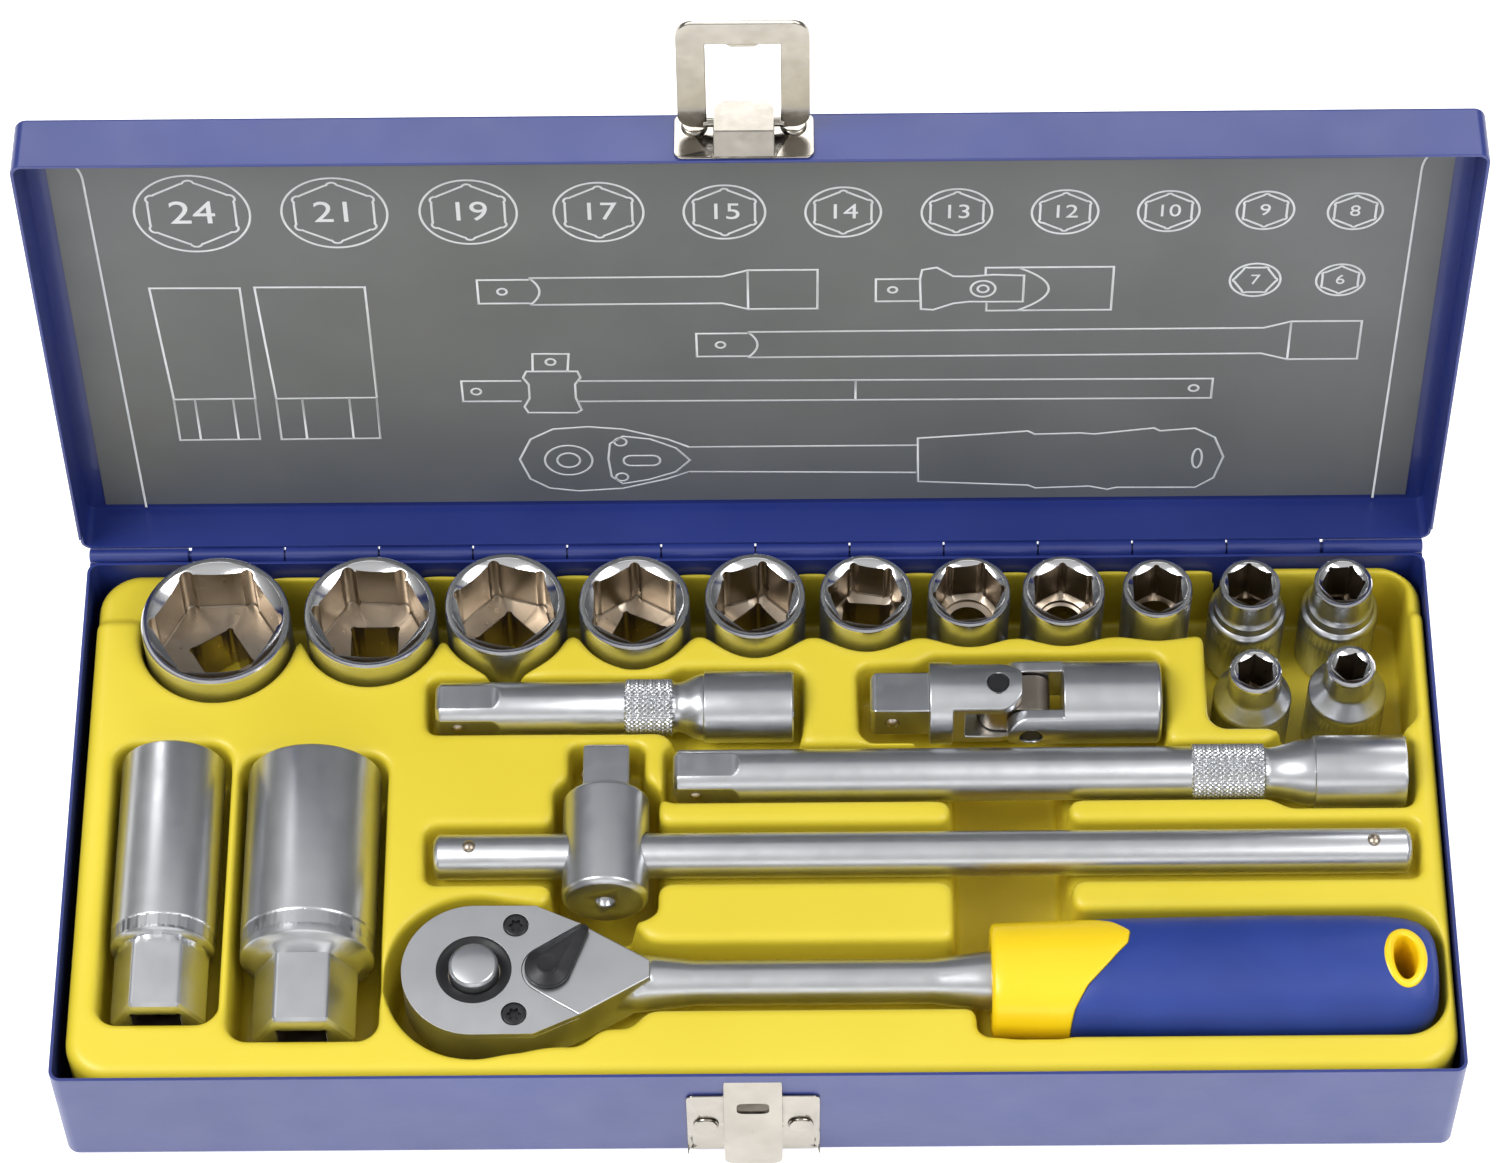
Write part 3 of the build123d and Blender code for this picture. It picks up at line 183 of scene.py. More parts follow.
BY_SLOT = {
    "blue_paint": paint,
    "nickel": nickel,
    "zinc": machined,
    "printed_card": card,
    "yellow_tray": tray_plastic,
    "satin_chrome": satin,
    "steel": machined,
    "black_plastic": black_plastic,
    "black_steel": black_steel,
    "black_rubber": rubber,
    "yellow_plastic": yellow_grip,
    "blue_plastic": blue_grip,
}
for node, part in nodes.items():
    part.data.materials.clear()
    part.data.materials.append(paint if node.startswith("hinge_") else BY_SLOT[node_slot[node]])


# ---------------------------------------------------------------- mesh helpers
def finish_piece(name, mesh, body, stands_for=(), slot=None, material=None, sharp=32.0):
    piece = bpy.data.objects.new(name, mesh)
    bpy.context.scene.collection.objects.link(piece)
    slot = slot or node_slot[stands_for[0]]
    if not mesh.materials:
        mesh.materials.append(material or BY_SLOT[slot])
    mesh.shade_smooth()
    if sharp:
        mesh.set_sharp_from_angle(angle=math.radians(sharp))
    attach(piece, body)
    if stands_for:
        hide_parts(*stands_for)
    return piece


def look(node, mesh, **more):
    """The finished piece that stands for one CAD node."""
    return finish_piece(node + "_look", mesh, node_body[node], (node,), **more)


def mesh_of(name, points, faces):
    """A mesh from points in millimetres."""
    mesh = bpy.data.meshes.new(name)
    mesh.from_pydata((np.asarray(points, float) * MM).tolist(), [], [[int(i) for i in f] for f in faces])
    mesh.validate()
    mesh.update()
    return mesh


def grid_faces(rows, columns, loop_rows=False, cap=(False, False)):
    """Quads over a grid whose columns close on themselves."""
    index = np.arange(rows * columns).reshape(rows, columns)
    faces = []
    for i in range(rows if loop_rows else rows - 1):
        a, b = index[i], index[(i + 1) % rows]
        faces += list(zip(a, np.roll(a, -1), np.roll(b, -1), b))
    if cap[0]:
        faces.append(index[0][::-1])
    if cap[1]:
        faces.append(index[-1])
    return faces


def turned(rings, origin, along, across, angles):
    """Points of rings (height, radius) about an axis; either may vary with the angle."""
    along, across = np.array(along, float), np.array(across, float)
    third = np.cross(along, across)
    spread = np.outer(np.cos(angles), across) + np.outer(np.sin(angles), third)
    points = []
    for height, radius in rings:
        height = np.broadcast_to(np.asarray(height, float), angles.shape)
        radius = np.broadcast_to(np.asarray(radius, float), angles.shape)
        points.append(np.array(origin) + spread * radius[:, None] + height[:, None] * along)
    return np.array(points)


def turned_mesh(name, rings, origin, along, across, angles, **ends):
    """A mesh over turned rings, its ends closed as grid_faces says."""
    points = turned(rings, origin, along, across, angles)
    return mesh_of(name, points.reshape(-1, 3), grid_faces(len(rings), len(angles), **ends))


def polygon_radius(angles, apothem, sides, turn, lobe):
    """Radius of a regular polygon whose corners are relieved by small round grooves."""
    half = math.pi / sides
    w = np.mod(angles - turn, 2 * half) - half
    flat = apothem / np.cos(w)
    corner = apothem / math.cos(half)
    centre = corner - 0.93 * lobe
    off = half - np.abs(w)
    inside = np.clip(lobe**2 - (centre * np.sin(off)) ** 2, 0, None)
    groove = np.where(inside > 0, centre * np.cos(off) + np.sqrt(inside), 0)
    return np.where(
        off < math.asin(min(lobe / centre, 1)), np.maximum(np.minimum(flat, centre), groove), flat
    )


def edge(radius_from, height_from, radius_to, height_to, corner_r, corner_h, steps=3):
    """Rings that round a corner between two profile points with a quadratic curve."""
    rings = []
    for t in np.linspace(0, 1, steps + 1):
        r = (1 - t) ** 2 * radius_from + 2 * t * (1 - t) * corner_r + t * t * radius_to
        h = (1 - t) ** 2 * height_from + 2 * t * (1 - t) * corner_h + t * t * height_to
        rings.append((h, r))
    return rings


def refined(node, width, angle=28.0, material=None, sharp=32.0, source=None, merge=True):
    """A copy of a CAD node with its edges broken by a small round, and its flats merged first if wanted."""
    mesh = source or nodes[node].data.copy()
    work = bmesh.new()
    work.from_mesh(mesh)
    bmesh.ops.remove_doubles(work, verts=work.verts, dist=2e-6)
    if merge:
        bmesh.ops.dissolve_limit(work, angle_limit=math.radians(0.6), verts=work.verts, edges=work.edges)
    bmesh.ops.recalc_face_normals(work, faces=work.faces)
    limit = math.radians(angle)
    edges = [e for e in work.edges if e.is_manifold and e.calc_face_angle(0) > limit]
    bmesh.ops.bevel(
        work, geom=edges, offset=width * MM, segments=2, profile=0.6, affect="EDGES", clamp_overlap=False
    )
    work.to_mesh(mesh)
    work.free()
    mesh.materials.clear()
    piece = look(node, mesh, material=material, sharp=sharp)
    weighted = piece.modifiers.new("weighted", "WEIGHTED_NORMAL")
    weighted.keep_sharp = True
    return piece


# ---------------------------------------------------------------- upright sockets
HEX_TURN = {
    24: 2, 21: -3, 19: -15, 17: 30, 15: 18, 14: -10, 13: 6, 12: 30, 10: 30, 9: 30, 8: 3, 7: 30, 6: 10
}
SQUARE_TURN = {24: 32, 21: 0, 19: 45, 17: -25, 15: 40, 14: -5}
SMALL_NOSES = {9: 6.4, 8: 6.2, 7: 5.5, 6: 5.15}  # nose radius of the sizes narrower than their drive end
FULL_SQUARE_FROM = 14  # from this size up the square hole shows below the hexagon
DEEP_ABOVE = 14  # sizes above this have the deeper hexagon
SQUARE_HALF = 4.9  # square drive hole, centre to flat
SQUARE_GROOVE = 0.75


def upright_socket(size):
    node = f"socket_{size}"
    low, high = box(node)
    centre = (low + high) / 2
    angles = turns(192)
    base = (high[0] - low[0]) / 2
    nose = SMALL_NOSES.get(size, base)
    z0, z1 = low[2], high[2]
    hexagon = polygon_radius(angles, size / 2 + 0.1, 6, math.radians(HEX_TURN[size]), 0.075 * size)
    turn = math.radians(45 + SQUARE_TURN.get(size, 0))
    square = polygon_radius(angles, SQUARE_HALF, 4, turn, SQUARE_GROOVE)
    rings = [(z0, square), (z0, base - 0.7)]
    rings += edge(base - 0.7, z0, base, z0 + 0.7, base, z0)
    if size in SMALL_NOSES:
        teeth = 0.16 * np.abs(np.sin(angles * 24))
        for z in (z0 + 12.2, z0 + 12.4, z0 + 15.8, z0 + 16.0):
            rings.append((z, base - (teeth if z0 + 12.3 < z < z0 + 15.9 else 0)))
        rings += edge(base, z1 - 10.6, base - 0.9, z1 - 9.4, base, z1 - 10.0)
        rings += edge(nose + 0.7, z1 - 7.4, nose, z1 - 6.0, nose, z1 - 6.8)
    else:
        for z, r in ((z0 + 9.0, 0), (z0 + 9.15, 0.22), (z0 + 9.9, 0.22), (z0 + 10.05, 0)):
            rings.append((z, base - r))
    rings += edge(nose, z1 - 0.75, nose - 0.75, z1, nose, z1)
    lip = nose - (1.25 if size > DEEP_ABOVE else 0.95)
    lip = max(lip, (size / 2 + 0.1) / math.cos(math.pi / 6) * 0.97)
    rings.append((z1, lip))
    rings.append((z1 - 0.12, lip - 0.08))
    rim_end = len(rings) - 1
    slope = z1 - 0.12 - 0.55 * np.clip(lip - 0.08 - hexagon, 0, None)
    rings.append((slope, np.minimum(hexagon, lip - 0.09)))
    hex_start = len(rings) - 1
    floor = z1 - (14.0 if size > DEEP_ABOVE else 11.76)
    rings.append((floor + 0.3, np.minimum(hexagon, lip - 0.09)))
    rings.append((floor, np.minimum(hexagon, lip - 0.09) - 0.3))
    hex_end = len(rings) - 1
    if size < FULL_SQUARE_FROM:
        bore = min(size, 9.5) / 2 - 0.3
        shelf = max(bore, size / 2 - 0.9)
        rings += [
            (floor - 0.5, shelf), (floor - 1.4, shelf), (floor - 1.7, bore), (z0 + 11.5, bore),
            (z0 + 11.3, square)
        ]
    else:
        rings += [(floor - 0.5, square + 0.15), (floor - 0.75, square)]
    points = turned(rings, (centre[0], centre[1], 0), (0, 0, 1), (1, 0, 0), angles)
    faces = grid_faces(len(rings), len(angles), loop_rows=True)
    mesh = mesh_of(node + "_look", points.reshape(-1, 3), faces)
    for material in (satin, polished, machined):
        mesh.materials.append(material)
    row = np.arange(len(faces)) // len(angles)
    kind = np.where(row >= hex_start, 2, np.where(row >= rim_end - 5, 1, 0))
    mesh.polygons.foreach_set("material_index", kind.astype(np.int32))
    return look(node, mesh, sharp=28)


for size in SIZES:
    upright_socket(size)


# ---------------------------------------------------------------- lying plug sockets
def plug_socket(size, drive_hex, knurl_from, knurl_to, hex_from):
    node = f"plug_socket_{size}"
    low, high = box(node)
    centre = (low + high) / 2
    near, far = low[1], high[1]
    body = (high[0] - low[0]) / 2
    angles = turns(216)
    outer = polygon_radius(angles, drive_hex / 2, 6, 0, 0.01)
    outer = np.minimum(outer, drive_hex / 2 / math.cos(math.pi / 6) * 0.985)
    square = polygon_radius(angles, SQUARE_HALF, 4, math.radians(45), SQUARE_GROOVE)
    mouth = polygon_radius(angles, size / 2 + 0.1, 6, 0, 0.075 * size)
    bore = size / 2 - 0.2
    rings = [(near + 0.15, square), (near, square + 0.2), (near, outer - 1.4), (near + 0.25, outer - 0.6)]
    rings += [
        (near + 0.9, outer), (near + hex_from - 2.0, outer),
        (near + hex_from - 0.8, np.maximum(outer, body - 2.4))
    ]
    rings += [
        (near + hex_from, body - 1.6), (near + hex_from + 0.5, body - 0.5),
        (near + hex_from + 0.9, body - 0.15)
    ]
    rings += [(near + knurl_from - 0.2, body - 0.15)]
    for y in np.arange(knurl_from, knurl_to, 0.3):
        a, b = angles * 46 + y * 5.2, angles * 46 - y * 5.2
        rings.append((near + y, body - 0.05 - 0.3 * (1 - np.minimum(np.abs(np.sin(a)), np.abs(np.sin(b))))))
    rings += [(near + knurl_to + 0.1, body - 0.1), (near + knurl_to + 0.25, body)]
    rings += edge(body, far - 0.9, body - 0.9, far, body, far)
    lip = body - 1.5
    rings += [(far, lip)]
    rings += [(far - 0.5 * np.clip(lip - mouth, 0, None) - 0.1, np.minimum(mouth, lip - 0.05))]
    inside = len(rings) - 1
    rings += [
        (far - 26.0, np.minimum(mouth, lip - 0.05)), (far - 26.2, bore), (far - 42.0, bore),
        (far - 42.2, 4.45)
    ]
    rings += [(near + 11.6, 4.45), (near + 11.5, square)]
    points = turned(rings, (centre[0], 0, centre[2]), (0, 1, 0), (1, 0, 0), angles)
    faces = grid_faces(len(rings), len(angles), loop_rows=True)
    mesh = mesh_of(node + "_look", points.reshape(-1, 3), faces)
    mesh.materials.append(satin)
    mesh.materials.append(machined)
    row = np.arange(len(faces)) // len(angles)
    mesh.polygons.foreach_set("material_index", np.where(row >= inside, 1, 0).astype(np.int32))
    return look(node, mesh, sharp=28)


plug_socket(16, 17.0, 17.6, 20.4, 16.2)
plug_socket(21, 18.5, 20.2, 23.4, 17.6)


# ---------------------------------------------------------------- bars
def knurled(angles, start, stop, radius, around=34, pitch=5.4, depth=0.42):
    """Rings of crossed knurling between two stations along a bar."""
    rings = []
    for x in np.arange(start, stop + 0.01, 0.22):
        a, b = angles * around / 2 + (x - start) * pitch / 2, angles * around / 2 - (x - start) * pitch / 2
        tip = np.minimum(np.abs(np.sin(a)), np.abs(np.sin(b)))
        rings.append((x, radius - depth * (1 - tip)))
    return rings


SHAFT_R = 5.5


def extension(node, square_end, knurl, end_from):
    low, high = box(node)
    tip, end = low[0], high[0]
    centre = (low + high) / 2
    angles = turns(204)
    square = np.minimum(polygon_radius(angles, 4.75, 4, math.radians(45), 0.02), SHAFT_R)
    big = (high[2] - low[2]) / 2
    hole = polygon_radius(angles, SQUARE_HALF, 4, math.radians(45), SQUARE_GROOVE)
    rings = [
        (tip, square * 0.74), (tip + 0.2, square * 0.84), (tip + 0.9, square * 0.97), (tip + 1.5, square)
    ]
    rings += [(square_end - 0.6, square)]
    for t in np.linspace(0.15, 1, 7):
        rings.append((square_end - 0.6 + 2.4 * t, np.minimum(square + 1.2 * t * t, SHAFT_R)))
    rings += [(square_end + 2.2, SHAFT_R), (knurl[0] - 0.5, SHAFT_R), (knurl[0] - 0.25, SHAFT_R + 0.1)]
    rings += knurled(angles, knurl[0], knurl[1], SHAFT_R + 0.45)
    rings += [(knurl[1] + 0.25, SHAFT_R - 0.1), (knurl[1] + 0.9, SHAFT_R - 0.35)]
    for t in np.linspace(0.1, 1, 9):
        swell = t * t * (3 - 2 * t)
        x = knurl[1] + 0.9 + (end_from - knurl[1] - 1.2) * t
        rings.append((x, SHAFT_R - 0.35 + (big - 0.5 - SHAFT_R + 0.35) * swell))
    rings += edge(big - 0.5, end_from - 0.3, big, end_from + 0.3, big, end_from - 0.3)
    rings += edge(big, end - 0.8, big - 0.8, end, big, end)
    rings += [(end, hole + 0.5), (end - 0.45, hole), (end - 11.4, hole)]
    origin = (0, centre[1], centre[2])
    mesh = turned_mesh(node + "_look", rings, origin, (1, 0, 0), (0, 1, 0), angles, cap=(True, True))
    return look(node, mesh, sharp=30)


short = box("extension_75")
long = box("extension_150")
extension("extension_75", short[0][0] + 12.2, (short[0][0] + 39.8, short[0][0] + 49.4), short[1][0] - 18.6)
extension("extension_150", long[0][0] + 12.4, (long[1][0] - 44.0, long[1][0] - 29.4), long[1][0] - 18.8)


def t_bar_look():
    low, high = box("t_bar")
    centre = (low + high) / 2
    radius = (high[2] - low[2]) / 2
    angles = turns(96)
    rings = [
        (low[0], radius - 1.2), (low[0] + 0.2, radius - 0.8), (low[0] + 0.9, radius - 0.1),
        (low[0] + 1.3, radius)
    ]
    rings += [
        (high[0] - 1.3, radius), (high[0] - 0.9, radius - 0.1), (high[0] - 0.2, radius - 0.8),
        (high[0], radius - 1.2)
    ]
    origin = (0, centre[1], centre[2])
    mesh = turned_mesh("t_bar_look", rings, origin, (1, 0, 0), (0, 1, 0), angles, cap=(True, True))
    return look("t_bar", mesh, sharp=50)


t_bar_look()
for node, width in (
    ("t_head", 0.35),
    ("uj_drive_yoke", 0.4),
    ("uj_socket_yoke", 0.4),
    ("uj_block", 0.3),
    ("uj_pin_upright", 0.25),
    ("uj_pin_cross", 0.25),
):
    refined(node, width, material=black_steel if "pin" in node else None)


# ---------------------------------------------------------------- ratchet
refined("ratchet_body", 0.35, angle=25)
refined("ratchet_cover", 0.12)
cover_top = box("ratchet_cover")[1][2]


def disc(name, node, centre, rings, material=None, stands_for=True, wave=None, sharp=35):
    """A turned part standing upright: rings are (height, radius), closed by a cap at both ends."""
    angles = turns(96)
    rows = [(z, r if wave is None else wave(angles, i, r)) for i, (z, r) in enumerate(rings)]
    origin = (centre[0], centre[1], 0)
    mesh = turned_mesh(name, rows, origin, (0, 0, 1), (1, 0, 0), angles, cap=(True, True))
    piece = finish_piece(
        name, mesh, node_body[node], (node,) if stands_for else (), slot=node_slot[node], sharp=sharp
    )
    if material:
        mesh.materials.clear()
        mesh.materials.append(material)
    return piece


button_low, button_high = box("release_button")
button_at, button_r = middle("release_button"), (button_high[0] - button_low[0]) / 2
rings = [
    (button_low[2], button_r - 0.1), (button_low[2] + 0.2, button_r), (button_high[2] - 0.75, button_r)
]
rings += [
    (button_high[2] - 0.62, button_r - 0.05), (button_high[2] - 0.1, button_r - 0.55),
    (button_high[2], button_r - 0.75)
]
disc("release_button_look", "release_button", button_at, rings, satin)
bezel_low, bezel_high = box("button_bezel")
bezel_r = (bezel_high[0] - bezel_low[0]) / 2
angles = turns(128)
rings = [(bezel_low[2], bezel_r), (bezel_high[2] - 0.1, bezel_r), (bezel_high[2], bezel_r - 0.1)]
rings += [
    (bezel_high[2], bezel_r - 0.5), (bezel_high[2] - 0.15, bezel_r - 0.75),
    (bezel_high[2] - 0.7, button_r + 0.75)
]
rings += [(bezel_high[2] - 0.8, button_r + 0.35), (bezel_low[2], button_r + 0.35)]
origin = (button_at[0], button_at[1], 0)
bezel_mesh = turned_mesh("button_bezel_look", rings, origin, (0, 0, 1), (1, 0, 0), angles, loop_rows=True)
look("button_bezel", bezel_mesh, sharp=35)


RECESS_FROM = 5  # rings of a screw from here on are its driver recess


def torx(angles, row, radius):
    """Six rounded lobes for the driver recess, plain circles outside it."""
    return radius * (1 + 0.2 * np.cos(6 * angles)) if row >= RECESS_FROM else radius


screw_low, screw_high = box("cover_screws")
SCREW_R = 2.45
screw_x = (screw_low[0] + screw_high[0]) / 2
for side, screw_y in (("front", screw_low[1] + 2.6), ("back", screw_high[1] - 2.6)):
    z = screw_high[2]
    rings = [
        (z - 1.4, SCREW_R), (z - 0.3, SCREW_R), (z - 0.05, SCREW_R - 0.25), (z, SCREW_R - 0.5), (z, 1.5)
    ]
    rings += [(z - 0.06, 1.22), (z - 0.9, 1.15)]
    is_front = side == "front"
    disc(f"cover_screw_{side}", "cover_screws", (screw_x, screw_y), rings, wave=torx, stands_for=is_front)

# reversing lever: a teardrop with a ridge from its round boss to its tip
lever_low, lever_high = box("reversing_lever")
LEVER_TIP = np.array([7.0, 8.4])  # from the boss
LEVER_AT = np.array([-42.2, -38.0])  # middle of the boss
lever_length = np.linalg.norm(LEVER_TIP)
ahead = LEVER_TIP / lever_length
aside = np.array([-ahead[1], ahead[0]])
NOSE_R, TIP_R = 4.7, 1.15


def lever_outline(shrink):
    lean = math.acos((NOSE_R - TIP_R) / lever_length)
    heel = np.linspace(lean, TAU - lean, 40)
    tip = np.linspace(-lean, lean, 12)
    big, little = NOSE_R - shrink, max(TIP_R - shrink * 0.8, 0.12)
    around = [(big * math.cos(a), big * math.sin(a)) for a in heel]
    around += [(lever_length - 0.4 * shrink + little * math.cos(a), little * math.sin(a)) for a in tip]
    return np.array(around)


def lever_look():
    base = cover_top + 0.35
    top = lever_high[2]
    rows = []
    profile = [(0.5, base), (0.0, base + 0.3), (0.0, top - 1.5), (0.15, top - 1.25)]
    profile += [(2.1, top - 0.25), (2.5, top - 0.1), (3.2, top - 0.05)]
    for shrink, z in profile:
        flat = lever_outline(shrink)
        rise = np.where(flat[:, 0] > 2.0, 0.15 * shrink / 3, 0)
        across = LEVER_AT + flat[:, :1] * ahead + flat[:, 1:] * aside
        rows.append(np.column_stack([across, z + rise]))
    mesh = mesh_of(
        "reversing_lever_look", np.concatenate(rows),
        grid_faces(len(rows), len(rows[0]), cap=(True, True))
    )
    look("reversing_lever", mesh, sharp=18)
    rings = [(top - 0.3, 2.15), (top - 0.12, 2.15), (top, 2.0), (top, 1.75), (top - 0.08, 1.6)]
    disc("lever_boss", "reversing_lever", LEVER_AT, rings, stands_for=False)


lever_look()

sleeve_low, sleeve_high = box("handle_sleeve")
grip_low, grip_high = box("handle_grip")
AXIS_Y = (grip_low[1] + grip_high[1]) / 2
AXIS_Z = (grip_low[2] + grip_high[2]) / 2
HALF_Y = (grip_high[1] - grip_low[1]) / 2
HALF_Z = (grip_high[2] - grip_low[2]) / 2
TIP_X = grip_high[0]
HEEL_X = sleeve_low[0]
STATIONS = np.array([0.0, 0.35, 1.4, 3.2, 6.0, 10.0, 16.0, 34.0, 60.0, 84.0, 91.0])
SHARES = np.array([0.45, 0.60, 0.755, 0.865, 0.935, 0.972, 0.99, 1.0, 0.975, 0.92, 0.90])


def grip_share(x):
    """Size of the oval section at x, as a share of the largest."""
    return np.interp(TIP_X - x, STATIONS, SHARES)


def split_line(angles):
    """X of the S-shaped line between the yellow sleeve and the blue grip, by angle."""
    across = [-1.0, -0.8, -0.45, 0.0, 0.25, 0.5, 0.75, 1.0]
    ahead = [15.8, 16.6, 19.2, 24.6, 27.6, 28.2, 25.0, 18.4]
    return HEEL_X + np.interp(np.cos(angles), across, ahead)


def oval(x, angles, inset=0.0):
    """Points on the grip's surface at stations x, one per angle."""
    share = grip_share(x)
    power = 0.94  # a little fuller than an ellipse
    c, s = np.cos(angles), np.sin(angles)
    y = AXIS_Y + (HALF_Y * share - inset) * np.sign(c) * np.abs(c) ** power
    z = AXIS_Z + (HALF_Z * share - inset) * np.sign(s) * np.abs(s) ** power
    return np.stack([np.broadcast_to(x, angles.shape), y, z], -1)


def handle_parts():
    angles = turns(160)
    line = split_line(angles)
    rows = [oval(np.full(160, HEEL_X + 0.05), angles, 4.5), oval(np.full(160, HEEL_X), angles, 1.1)]
    rows += [oval(np.full(160, HEEL_X + 0.3), angles, 0.35), oval(np.full(160, HEEL_X + 1.0), angles, 0.0)]
    for t in np.linspace(0.1, 1, 12):
        rows.append(oval(HEEL_X + 1.0 + (line - 0.5 - HEEL_X - 1.0) * t, angles))
    rows += [oval(line - 0.2, angles, 0.1), oval(line, angles, 0.4), oval(line, angles, 2.0)]
    rows += [oval(line - 2.0, angles, 3.0)]
    yellow = mesh_of("handle_sleeve_look", np.concatenate(rows), grid_faces(len(rows), 160, loop_rows=True))
    look("handle_sleeve", yellow, sharp=60)
    rows = [oval(line, angles, 2.0), oval(line + 0.02, angles, 0.4), oval(line + 0.22, angles, 0.1)]
    end = TIP_X - 16.0
    for t in np.linspace(0, 1, 16):
        rows.append(oval(line + 0.5 + (end - line - 0.5) * t, angles))
    for x in np.concatenate([np.linspace(13, 2, 16), [1.4, 0.9, 0.5, 0.2, 0.0]]):
        rows.append(oval(np.full(160, TIP_X - x), angles))
    rows.append(oval(np.full(160, TIP_X), angles, 3.0))
    blue = mesh_of("handle_grip_look", np.concatenate(rows), grid_faces(len(rows), 160, cap=(True, True)))
    return look("handle_grip", blue, sharp=60)


def cut_from(piece, points, faces, material):
    """Cuts a solid out of a piece for good."""
    cutter = bpy.data.objects.new("cutter", mesh_of("cutter", points, faces))
    bpy.context.scene.collection.objects.link(cutter)
    cut = piece.modifiers.new("cut", "BOOLEAN")
    cut.operation = "DIFFERENCE"
    cut.solver = "EXACT"
    cut.object = cutter
    bpy.context.view_layer.update()
    result = bpy.data.meshes.new_from_object(piece.evaluated_get(bpy.context.evaluated_depsgraph_get()))
    piece.modifiers.clear()
    piece.data = result
    result.materials.clear()
    result.materials.append(material)
    result.shade_smooth()
    result.set_sharp_from_angle(angle=math.radians(50))
    bpy.data.objects.remove(cutter)


def hang_ring_parts(blue):
    low, high = box("hang_ring")
    centre, half = (low + high) / 2, (high - low) / 2
    angles = turns(96)
    hole = np.array([2.4, 4.8])

    def height(x, y, side):
        share = grip_share(x)
        inside = np.clip(1 - ((y - AXIS_Y) / (HALF_Y * share)) ** 2, 0, 1)
        return AXIS_Z + side * HALF_Z * share * np.sqrt(inside)

    def ring(size, side, lift):
        x = centre[0] + size[0] * np.cos(angles)
        y = centre[1] + size[1] * np.sin(angles)
        return np.stack([x, y, height(x, y, side) + side * lift], -1)

    outer = half[:2]
    rows = [
        ring(outer, -1, 0.0), ring(outer, 1, 0.0), ring(outer - 0.25, 1, 0.2), ring(outer - 0.9, 1, 0.3)
    ]
    rows += [ring(hole + 0.7, 1, 0.2), ring(hole + 0.15, 1, -0.3), ring(hole, 1, -0.9)]
    rows += [
        ring(hole, -1, -0.9), ring(hole + 0.15, -1, -0.3), ring(hole + 0.7, -1, 0.2),
        ring(outer - 0.9, -1, 0.3)
    ]
    rows += [ring(outer - 0.25, -1, 0.2)]
    mesh = mesh_of("hang_ring_look", np.concatenate(rows), grid_faces(len(rows), 96, loop_rows=True))
    look("hang_ring", mesh, slot="yellow_plastic", sharp=45)
    # the same oval, cut out of the grip
    cut_rows = [ring(outer - 0.05, -1, 4.0), ring(outer - 0.05, 1, 4.0)]
    cut_from(blue, np.concatenate(cut_rows), grid_faces(2, 96, cap=(True, True)), blue_grip)


hang_ring_parts(handle_parts())

# the blind hole in the front of the T handle's head
head_piece = bpy.data.objects["t_head_look"]
low, high = box("t_head")
angles = turns(48)
rings = [(low[1] - 1.0, 2.3), (low[1] - 0.02, 2.3), (low[1] + 0.4, 1.85), (low[1] + 3.0, 1.85)]
points = turned(rings, ((low[0] + high[0]) / 2, 0, (low[2] + high[2]) / 2), (0, 1, 0), (1, 0, 0), angles)
cut_from(head_piece, points.reshape(-1, 3), grid_faces(4, 48, cap=(True, True)), satin)


# ---------------------------------------------------------------- case and latch
refined("case_base", 0.18)
refined("case_lid", 0.18)
hinge = joints["lid_hinge"]
HINGE_Y, HINGE_Z = hinge["pos_m"][1] / MM, hinge["pos_m"][2] / MM
LID_ANGLE = -min(hinge["range_deg"])
LATCH_X = -1.0  # middle of the latch and catch
STRAP_HALF = 5.9
WING_HALF = 13.5
SHEET = 1.0  # corner edges are shorter than this


def opened(points):
    """Points of the shut lid carried to where the lid stands open."""
    points = np.asarray(points, float)
    c, s = math.cos(math.radians(LID_ANGLE)), math.sin(math.radians(LID_ANGLE))
    y, z = points[..., 1] - HINGE_Y, points[..., 2] - HINGE_Z
    return np.stack([points[..., 0], HINGE_Y + y * c + z * s, HINGE_Z - y * s + z * c], -1)


def shut(point):
    """Where a point of the open lid comes to when it is shut."""
    c, s = math.cos(math.radians(LID_ANGLE)), math.sin(math.radians(LID_ANGLE))
    y, z = point[1] - HINGE_Y, point[2] - HINGE_Z
    return np.array([point[0], HINGE_Y + y * c - z * s, HINGE_Z + y * s + z * c])


def corners_rounded(node, wanted, radius, width):
    """A refined copy whose chosen corners, found by their middle, get a large round first."""
    mesh = nodes[node].data
    work = bmesh.new()
    work.from_mesh(mesh)
    bmesh.ops.remove_doubles(work, verts=work.verts, dist=2e-6)
    bmesh.ops.dissolve_limit(work, angle_limit=math.radians(0.6), verts=work.verts, edges=work.edges)
    chosen = []
    for item in work.edges:
        mid = np.array((item.verts[0].co + item.verts[1].co) / 2) / MM
        if item.is_manifold and item.calc_face_angle(0) > 0.9 and wanted(mid, item.calc_length() / MM):
            chosen.append(item)
    if chosen:
        bmesh.ops.bevel(
            work, geom=chosen, offset=radius * MM, segments=6, profile=0.5, affect="EDGES",
            clamp_overlap=False
        )
    copy = bpy.data.meshes.new(node + "_rounded")
    work.to_mesh(copy)
    work.free()
    return refined(node, width, source=copy)


def bill_corner(mid, length):
    mid = shut(mid)
    at_side = abs(abs(mid[0] - LATCH_X) - STRAP_HALF) < 0.3
    return mid[2] > 42.0 and at_side and length < SHEET and mid[1] < -66


def strap_corner(mid, length):
    aside = abs(mid[0] - LATCH_X)
    at_side = abs(aside - STRAP_HALF) < 0.3 or abs(aside - WING_HALF) < 0.3
    return mid[2] < 8.0 and at_side and length < SHEET


corners_rounded("lid_latch_plate", bill_corner, 2.6, 0.2)
catch = corners_rounded("base_catch", strap_corner, 2.2, 0.2)


